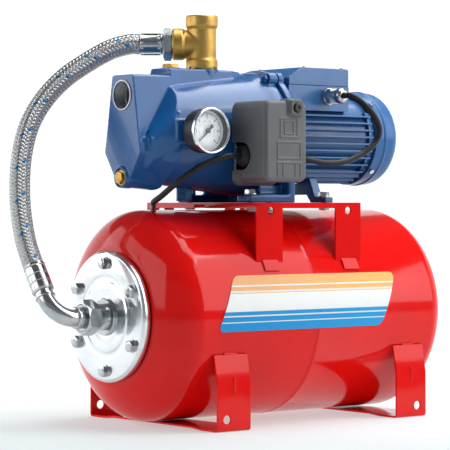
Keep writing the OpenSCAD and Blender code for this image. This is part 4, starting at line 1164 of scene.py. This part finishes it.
def make_tee():
    upright = at(OUTLET_X)

    def blank(bm):
        add_lathe(bm, [(0, 441.6), (20, 441.6), (20, 452), (18.1, 455.5), (18.1, 492),
                       (20.2, 495.5), (20.2, 507.5), (19.2, 509), (0, 509)], upright, 96, False)
        add_lathe(bm, [(0, 0), (18, 0), (18, 21), (20, 24.6), (20, 35.8), (19.2, 36.6), (0, 36.6)],
                  OUTLET, 96, False)

    tee = part("brass_tee", blank)
    cast(tee, 0.8, 4)
    tee.data.materials.append(MATERIALS["cast_brass"])
    thread = [(15.9 + 0.9 * (k % 2), 494 + 1.15 * k) for k in range(12)]
    bores = [
        turned("down", rod(12.5, 400, 494), upright),
        turned("top", [(0, 493), (15, 493), *thread, (17.6, 508), (17.8, 520), (0, 520)],
               upright, 96),
        turned("side", [(0, 0), (12.5, 0), (12.5, 22), (16.7, 22), (16.7, 40), (0, 40)], OUTLET),
    ]
    for k in range(8):
        place = upright @ Matrix.Rotation(TAU * k / 8 + 0.2, 4, "Z")
        rings = [[place @ Vector((x, y, z)) for y, z in ((-4.2, 438), (4.2, 438), (3.2, 444.4),
                                                         (-3.2, 444.4))] for x in (18.3, 24)]
        bores.append(part("notch", lambda bm: add_loft(bm, rings)))
    boolean(tee, bores, "DIFFERENCE")
    finish_piece(tee, "pump_set", [], ("delivery_tee",), 30)
    lathe_piece("tee_spigot", tube(12.5, 16.3, 426.6, 441.5), upright, "cast_brass", steps=64)


make_plugs()
make_tee()

# ------------------------------------------------------------------ hose ends and elbow


def ferrule_profile(start, length, bore, r=13.75):
    """Crimped sleeve: three pressed bands between turned grooves and a rolled end."""
    points = [(bore, start), (r - 1.6, start), (r - 0.9, start + 0.6)]
    band = (length - 6) / 3
    h = start + 0.6
    for _ in range(3):
        points += [(r - 0.9, h + 0.5), (r, h + 1.3), (r, h + band - 1.0), (r - 0.9, h + band - 0.2)]
        h += band
    points += [(r - 1.1, start + length - 4.2), (r - 0.3, start + length - 3.4),
               (r, start + length - 2.4), (r, start + length - 0.8),
               (r - 0.8, start + length), (bore, start + length)]
    return points


ELBOW_FRAME = at(-286, 0, TANK_AXIS_Z) @ Matrix.Rotation(math.radians(-34.6), 4, "X")


def make_hose_ends():
    flange_axis = along_x(TANK_AXIS_Z)
    elbow_end = ELBOW_FRAME @ at(-30, 0, 30)

    def nipple(bm):
        points = [(12.5, -270), (15.4, -270)]
        h = -269.4
        while h < -246:
            points += [(16.4, h), (15.3, h + 0.9)]
            h += 1.8
        points += [(16.2, -244.2), (22, -244.2), (23, -243), (23, -241.05), (12.5, -241.05)]
        add_lathe(bm, points, flange_axis, 96)
        add_lathe(bm, [(12.5, -241.1), (17, -241.1), (17, -237.5), (23, -237.5), (23, -233.5),
                       (12.5, -233.5)], flange_axis, 64)

    new_piece("flange_nipple_turned", nipple, "plated_steel", ("flange_nipple",))

    def elbow(bm):
        add_lathe(bm, fillet([(8.5, -286.5), (12.4, -286.5), (13.4, -285), (13.4, -278.4),
                              (11, -276.9), (11, -272.6), (15.6, -272.6), (15.6, -270.2),
                              (8.5, -270.2)], 0.5, 3), flange_axis, 96)
        rings = []
        for k in range(25):
            a = math.radians(90 * k / 24)
            centre = Vector((-30 * math.sin(a), 0, 30 - 30 * math.cos(a)))
            out = Vector((math.sin(a), 0, math.cos(a)))
            rings.append([ELBOW_FRAME @ p for p in hoop(centre, out, Vector((0, 1, 0)), 11, 48)])
        add_loft(bm, rings)
        add_lathe(bm, fillet([(9, -0.5), (12.4, -0.5), (12.4, 2.2), (11, 3), (11, 41), (9, 41)],
                             0.6, 3), elbow_end, 64)

    new_piece("hose_elbow_bent", elbow, "plated_steel", ("hose_elbow",))

    def ends(bm):
        add_hex(bm, flange_axis, 38, -276, -258, 16.7, True)
        add_lathe(bm, tube(11.3, 16, -275.9, -272.7), flange_axis, 64)
        add_lathe(bm, ferrule_profile(8, 37, 11.05), elbow_end, 96)
        add_lathe(bm, tube(8.5, 16.4, 23.6, 36.9), OUTLET, 64)
        add_hex(bm, OUTLET, 36, 36.8, 48.7, 8.6, True)
        add_lathe(bm, fillet([(8.5, 48.6), (12.6, 48.6), (13.75, 49.6), (13.75, 51.8), (12.4, 52.6),
                              (12.4, 76), (13.75, 76.8), (13.75, 78.2), (8.5, 78.2)], 0.3, 2),
                  OUTLET, 96)
        for k in range(6):
            turn = OUTLET @ Matrix.Rotation(TAU * (k + 0.35) / 6, 4, "Z") @ at(11.2)
            for u, v, start, end in ((-6.8, -4.6, 52, 76.4), (4.6, 6.8, 52, 76.4),
                                     (-6.8, 6.8, 52, 55.4), (-6.8, 6.8, 73, 76.4)):
                add_prism(bm, [(0, u), (2.3 - 0.03 * u * u, u), (2.3 - 0.03 * v * v, v), (0, v)],
                          turn, start, end)

    new_piece("hose_ends", ends, "plated_steel", ("hose_fittings",))


make_hose_ends()

# ------------------------------------------------------------------ motor


def make_fan_cover():
    outer = [(61.2, 150.4), (61.4, 163.2), (62.3, 164.4), (62.6, 165.2), (62.6, 166.8),
             (62.3, 167.6), (61.4, 168.8), (61.2, 177)]
    outer += arc(44.2, 178, 0, 90, 14, 17, 15.6)[1:]
    outer += [(30, 195), (19, 195.7), (8, 196), (0, 196)]
    inner = [(0, 194.5), (30, 193.5), (43, 192.3)] + arc(44.2, 178, 0, 90, 14, 15.3, 14)[13:0:-1]
    inner += [(59.5, 177), (59.5, 153.4), (56.4, 153.4), (56.4, 150.4)]
    cover = part("fan_cowl", lambda bm: add_lathe(bm, outer + inner, along_x(PUMP_AXIS_Z), 192))
    slots = part("slots", lambda bm: [add_prism(
        bm, rounded((19, 43), (-1.7, 1.7), 1.6, 4),
        at(0, 0, PUMP_AXIS_Z) @ Matrix.Rotation(TAU * k / 24, 4, "X")
        @ Matrix.Rotation(-math.pi / 2, 4, "Y"), -200, -186) for k in range(24)])
    boolean(cover, [slots], "DIFFERENCE")
    finish_piece(cover, "pump_set", [MATERIALS["blue_plastic"]],
                 ("fan_cover",), 30)


def make_gland():
    """Cable gland: flanged body with turned grooves, hexagon and domed sealing nut."""
    axis = along_minus_y(75, 410.5)

    def build(bm):
        add_lathe(bm, tube(3.8, 8, 46, 50), axis, 48)
        points = tube(3.8, 10.75, 50.05, 54)
        add_lathe(bm, fillet(points, 0.3, 2), axis, 64)
        add_hex(bm, axis, 19, 54, 63, 3.8, True)
        rib = [(3.8, 62.9), (8.6, 62.9)]
        h = 63.4
        while h < 71:
            rib += [(8.6, h), (9.6, h + 0.5), (9.6, h + 1.1), (8.6, h + 1.6)]
            h += 2.0
        rib += [(8.9, 71.2), (9.75, 71.8), (9.75, 77), (9.2, 79.2), (7.8, 80.8), (6.2, 81.8),
                (4.6, 82), (3.8, 81.6)]
        add_lathe(bm, rib, axis, 96)

    new_piece("gland_plated", build, "plated_steel", ("cable_gland",))


make_fan_cover()
make_gland()

# ------------------------------------------------------------------ gauge


def make_gauge():
    case = fillet([(2, 71), (24, 70.2), (26.6, 71.4), (27.2, 74), (27.2, 94), (25, 94),
                   (25, 74), (2, 74)], 1.2, 4)
    lathe_piece("gauge_shell", [(2, 58), (6.5, 58), (6.5, 66.3), (9, 66.3), (9, 70.1)] + case,
                GAUGE_AXIS, "black_plastic", ("gauge_case",), 160)
    bezel = fillet([(24.9, 95), (25.6, 96.6), (26.9, 96.9), (28.2, 95.8), (28.4, 94.4),
                    (28.4, 91.2), (27.3, 91.2), (27.3, 94.1), (24.9, 94.1), (24.9, 95)], 0.6, 4)
    lathe_piece("gauge_ring", bezel[:-1], GAUGE_AXIS, "polished_steel", ("gauge_bezel",), 192)
    glass = [(0, 92.5), (25.2, 92.5), (25.2, 93.4), (20, 93.7), (12, 93.85), (0, 93.9)]
    new_piece("gauge_glass", lambda bm: add_lathe(bm, glass, GAUGE_AXIS, 128, False),
              "clear_glass", ("gauge_lens",))


def dial_place(radius, degrees, depth=85.06):
    """Point on the dial: degrees run clockwise from straight up, seen from the front."""
    a = math.radians(degrees)
    return Vector((GAUGE_X + radius * math.sin(a), -depth, GAUGE_Z + radius * math.cos(a)))


def dial_bar(bm, r0, r1, degrees, width):
    a = math.radians(degrees)
    side = Vector((math.cos(a), 0, -math.sin(a))) * width / 2
    inner, outer = dial_place(r0, degrees), dial_place(r1, degrees)
    ring = [inner - side, inner + side, outer + side, outer - side]
    add_loft(bm, [ring, [p - Vector((0, 0.08, 0)) for p in ring]])


def make_dial():
    start, sweep = -135, 270

    def ticks(bm):
        for k in range(61):
            degrees = start + sweep * k / 60
            major, middle = k % 10 == 0, k % 5 == 0
            inner = 17.6 if major else 18.8 if middle else 19.9
            dial_bar(bm, inner, 22.0, degrees, 0.95 if major else 0.7 if middle else 0.42)
        for k in range(120):
            dial_bar(bm, 21.9, 22.2, start + sweep * k / 120 + 0.9, 0.95)
        for k in range(28):
            dial_bar(bm, 11.4, 12.4 if k % 4 else 13.2, start + sweep * k / 28, 0.42)

    new_piece("dial_ticks", ticks, "black_plastic", material=PRINT_BLACK)
    for index in range(7):
        data = bpy.data.curves.new(f"dial_number_{index}", "FONT")
        data.body = str(index)
        data.size = 0.0050
        data.extrude = 0.00004
        data.align_x = data.align_y = "CENTER"
        holder = bpy.data.objects.new("number", data)
        bpy.context.scene.collection.objects.link(holder)
        holder.location = dial_place(15.9, start + sweep * index / 6, 85.1) * MM
        holder.rotation_euler = (math.pi / 2, 0, 0)
        bpy.context.view_layer.update()
        graph = bpy.context.evaluated_depsgraph_get()
        mesh = bpy.data.meshes.new_from_object(holder.evaluated_get(graph))
        mesh.transform(holder.matrix_world)
        mesh.materials.clear()
        number = bpy.data.objects.new(f"dial_number_{index}", mesh)
        bpy.context.scene.collection.objects.link(number)
        bpy.data.objects.remove(holder)
        finish_piece(number, "pump_set", [PRINT_BLACK])


def make_needle():
    """Flat pointer with a counterweight and a turned hub, drawn at no pressure."""
    def build(bm):
        turn = (at(GAUGE_X, 0, GAUGE_Z) @ Matrix.Rotation(math.radians(135), 4, "Y")
                @ Matrix.Rotation(math.pi / 2, 4, "X"))
        outline = [(-9.5, -2.0), (-8.6, -2.5), (-5, -1.7), (0, -1.5), (12, -0.75), (19.5, -0.15),
                   (19.5, 0.15), (12, 0.75), (0, 1.5), (-5, 1.7), (-8.6, 2.5), (-9.5, 2.0)]
        add_prism(bm, outline, turn, 87.45, 88.0)
        add_lathe(bm, [(0, 78.5), (1.45, 78.5), (1.45, 86.4), (3, 86.6), (3, 89.2), (2.4, 89.9),
                       (0, 90)], GAUGE_AXIS, 48, False)

    new_piece("gauge_pointer", build, "black_plastic", ("gauge_needle",), "gauge_needle",
              material=NEEDLE_GREY)


make_gauge()
make_dial()
make_needle()

# ------------------------------------------------------------------ pressure switch


def xz_loft(bm, sections):
    """Lofts outlines of (x, z) points that stand at the given y places."""
    add_loft(bm, [[(x, y, z) for x, z in outline] for y, outline in sections])


def make_switch():
    x, z = (-105, -38.6), (299, 398)
    nut_x, nut_z = -57.8, 389.3
    cut_out = arc(-97, 331, 270, 90, 16, 18)

    def shell(bm):
        behind = rounded(x, (z[0] - 4, z[1]), 10, 8)
        sections = [(-77.5, behind), (-83, behind), (-92, rounded(x, z, 10, 8))]
        edge = 5.0
        for k in range(9):
            a = math.radians(90 * k / 8)
            sections.append((-(142 - edge) - edge * math.sin(a),
                             rounded(x, z, 10, 8, edge * (1 - math.cos(a)))))
        xz_loft(bm, sections)

    def bar(bm, x0, x1, z0, z1):
        add_box(bm, (x0, x1), (-142.75, -138), (z0, z1))

    def raised(bm):
        xz_loft(bm, [(-128, rounded((-73, -46.5), (377, 400.5), 5, 5)),
                     (-142, rounded((-72, -46.8), (378, 400.5), 5, 5)),
                     (-146.2, rounded((-67, -48.2), (380.5, 399), 5, 5))])
        # thin frames and ribs, plain stand-ins for the moulded marks
        for left, right, low, high in ((-82, -54, 353, 376.5), (-75.5, -60, 357, 373.5),
                                       (-86.5, -49, 327, 348)):
            bar(bm, left, right, low, low + 1.3)
            bar(bm, left, right, high - 1.3, high)
            bar(bm, left, left + 1.3, low, high)
            bar(bm, right - 1.3, right, low, high)
        for left in (-86.5, -77.5, -58.5, -50.3):
            bar(bm, left, left + 1.3, 306, 323)
        bar(bm, -86.5, -49, 321.8, 323.2)
        add_box(bm, (-105.6, -102), (-100, -92), (304, 312))

    cover = joined("switch_cap", [part("switch_shell", shell), part("switch_raised", raised)])
    cast(cover, 0.62, 2)
    cover.data.materials.append(MATERIALS["grey_plastic"])

    def hollow(bm):
        inner, deep = (rounded((x[0] + 2.4, x[1] - 2.4), (low, z[1] - 2.4), 8, 6)
                       for low in (z[0] + 2.4, z[0] - 1.6))
        xz_loft(bm, [(-139.2, inner), (-92, inner), (-83, deep), (-70, deep)])

    def notch(bm):
        outline = [(-70, 313), (-97, 313), *cut_out[1:-1], (-97, 349), (-70, 349)]
        add_loft(bm, [yz_ring(px, outline) for px in (-108, -101)])

    boolean(cover, [
        part("hollow", hollow), part("notch", notch),
        turned("small", rod(8, 36, 60), along_x(332, -104, -100)),
        turned("well", [(0, 130), (3.15, 130), (3.15, 143.4), (6.6, 143.6), (6.6, 150), (0, 150)],
               along_minus_y(nut_x, nut_z)),
    ], "DIFFERENCE")
    finish_piece(cover, "pump_set", [], ("switch_cover",), 35)

    def lip(bm):
        """Rolled lip round the cord cut-out."""
        path = [Vector((x[0], py, pz)) for py, pz in [(-80, 313), *cut_out, (-80, 349)]]
        rings = []
        for i, p in enumerate(path):
            t = (path[min(i + 1, len(path) - 1)] - path[max(i - 1, 0)]).normalized()
            out = Vector((1, 0, 0))
            rings.append(hoop(p, t.cross(out).normalized(), out, 1.1, 16))
        add_loft(bm, rings)

    new_piece("switch_lip", lip, "grey_plastic")

    def cap_nut(bm):
        axis = along_minus_y(nut_x, nut_z, -144.6)
        add_lathe(bm, rod(3, -40, 0), axis, 32, False)
        add_lathe(bm, fillet([(2, 0.05), (5.6, 0.05), (5.6, 3.4), (4.6, 4.2), (2.2, 4.2),
                              (2.2, 2.4), (2, 2.4)], 0.4, 3), axis, 64)
        add_lathe(bm, [(0, 2.4), (2.4, 2.4), (2.2, 2.7), (0, 2.8)], axis, 32, False)
        add_hex(bm, axis, 10, 0.1, 3.2, 4.4, True)

    new_piece("switch_cap_nut", cap_nut, "black_plastic", ("switch_cover_nut",))


def make_bushes():
    """Rubber bush with a cone that holds the mains cord, and the link cord's grommet."""
    def build(bm):
        cone = [(3.8, -88), (9, -88), (9, -98.1), (13.4, -98.2), (13.4, -104.6), (12.4, -106),
                (10.6, -107.4), (8.2, -108.6), (6.4, -109.5), (5.4, -110), (3.8, -110)]
        add_lathe(bm, cone, along_x(331, -98), 96)
        add_lathe(bm, [(3.8, -50), (7.9, -50), (7.9, -38.9), (9.5, -38.8), (9.5, -36.4),
                       (8.4, -34.6), (6.4, -34), (3.8, -34)], along_x(332, -104), 96)

    new_piece("rubber_bushes", build, "black_rubber", ("cable_bushes",))


def make_spring():
    """Wound range spring with closed ends."""
    wire, coil, turns, low, high = 1.0, 5.6, 8.5, 343.0, 368.9

    def build(bm):
        rings = []
        for i in range(int(turns * 36) + 1):
            turn = i / 36
            open_part = min(max((turn - 1) / (turns - 2), 0), 1)
            rise = low + wire + (high - low - 2 * wire) * open_part
            out = Vector((math.cos(TAU * turn), math.sin(TAU * turn), 0))
            rings.append(hoop(Vector((-66, -91, rise)) + out * coil, out, Vector((0, 0, 1)),
                              wire, 10))
        add_loft(bm, rings)

    spring = new_piece("range_coil", build, "plated_steel", ("range_spring",))
    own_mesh(spring)


make_switch()
make_bushes()
make_spring()

# ------------------------------------------------------------------ carried-over CAD nodes

CARRIED = {
    "red_paint": ["foot_left", "foot_right", "platform"],
    "blue_motor": ["motor_frame", "terminal_box", "terminal_lid"],
    "plated_steel": ["cover_screws", "switch_nipple", "switch_lever", "switch_base"],
    "cast_brass": ["air_valve", "ejector_nozzle", "impeller"],
    "black_rubber": ["tank_membrane", "valve_cap", "mains_plug"],
    "black_plastic": ["venturi_tube", "diffuser", "cooling_fan"],
    "dark_steel": ["seal_rotor", "stator_core", "rotor_core", "bearing_outer_rings",
                   "bearing_inner_rings"],
    "polished_steel": ["motor_shaft"],
    "copper_wire": ["stator_windings"],
    "alloy": ["rear_end_shield"],
    "white_plastic": ["capacitor"],
    "dial": ["gauge_dial"],
    "seal_ceramic": ["seal_seat"],
}
BEVELS = {
    "foot_left": 0.9, "foot_right": 0.9, "platform": 0.9, "motor_frame": 0.5,
    "terminal_box": 1.2, "terminal_lid": 1.2, "switch_base": 0.4, "mains_plug": 1.2,
    "valve_cap": 0.5, "capacitor": 0.5, "cover_screws": 0.3, "cooling_fan": 0.3,
}


def dress_nodes():
    """Gives each carried-over CAD node its material, welded points and soft edges."""
    for slot, names in CARRIED.items():
        for name in names:
            obj = nodes[name]
            obj.data.materials.clear()
            obj.data.materials.append(DIAL_WHITE_GLOWING if slot == "dial" else MATERIALS[slot])
            weld = obj.modifiers.new("weld", "WELD")
            weld.merge_threshold = 0.00001
            if name in BEVELS:
                flat = obj.modifiers.new("flat", "DECIMATE")
                flat.decimate_type = "DISSOLVE"
                flat.angle_limit = math.radians(0.6)
                bevel = obj.modifiers.new("bevel", "BEVEL")
                bevel.width = BEVELS[name] * MM
                bevel.segments = 3
                bevel.limit_method = "ANGLE"
                bevel.angle_limit = math.radians(32)
                bevel.use_clamp_overlap = True
                even = obj.modifiers.new("even", "WEIGHTED_NORMAL")
                even.mode = "FACE_AREA"
                even.weight = 100
                even.keep_sharp = True
            obj.data.shade_smooth()
            obj.data.set_sharp_from_angle(angle=math.radians(32))


dress_nodes()

# ------------------------------------------------------------------ floor


def make_floor():
    """Pale round floor that curves up into a low wall on every side, in metres, with a painted glow
    that is stronger behind the object along the main view's line of sight and a little stronger
    near it than far out.
    """
    drop, flat, cove, wall = -0.0002, 5.4, 0.8, 3.0
    path = [(1.5, drop), (3.5, drop), (flat, drop)]
    path += arc(flat, cove + drop, -90, 0, 10, cove)[1:] + [(flat + cove, wall)]
    bm = bmesh.new()
    centre = bm.verts.new((0, 0, drop))
    rings = [[bm.verts.new((*p, h)) for p in arc(0, 0, 0, 355, 71, r)] for r, h in path]
    for k in range(72):
        j = (k + 1) % 72
        bm.faces.new([centre, rings[0][k], rings[0][j]])
        for a, b in zip(rings, rings[1:]):
            bm.faces.new([a[k], b[k], b[j], a[j]])
    floor = object_from(bm, "studio_floor")
    s = Shader("pale_glowing_floor")
    ahead = s.set(s.node("ShaderNodeVectorMath", operation="DOT_PRODUCT"), Vector=s.place)
    ahead.inputs[1].default_value = (math.sin(SIGHT_YAW), math.cos(SIGHT_YAW), 0)
    away = s.set(s.node("ShaderNodeVectorMath", operation="LENGTH"), Vector=s.place)
    # Painted glow: the floor and wall glow, more behind the object along the main view's line of
    # sight and a little more near it than far out.
    near = s.ramp(away.outputs["Value"], 2.4, 5.2, 0.30, 0.08)
    behind = s.math("ADD", s.ramp(ahead.outputs["Value"], -0.45, 0.9, 0, 0.48),
                    s.ramp(ahead.outputs["Value"], 2.2, 4.6, 0, 0.26))
    glow = s.math("ADD", near, behind)
    s.set(s.bsdf, Emission_Color=(1, 1, 1, 1), Emission_Strength=glow)
    s.done(s.mix(s.noise(3, 2), (0.37, 0.43, 0.44), (0.40, 0.46, 0.47)),
           s.ramp(s.noise(5, 2), 0.3, 0.7, 0.65, 0.75))
    floor.data.materials.append(s.material)
    floor.data.shade_smooth()


make_floor()
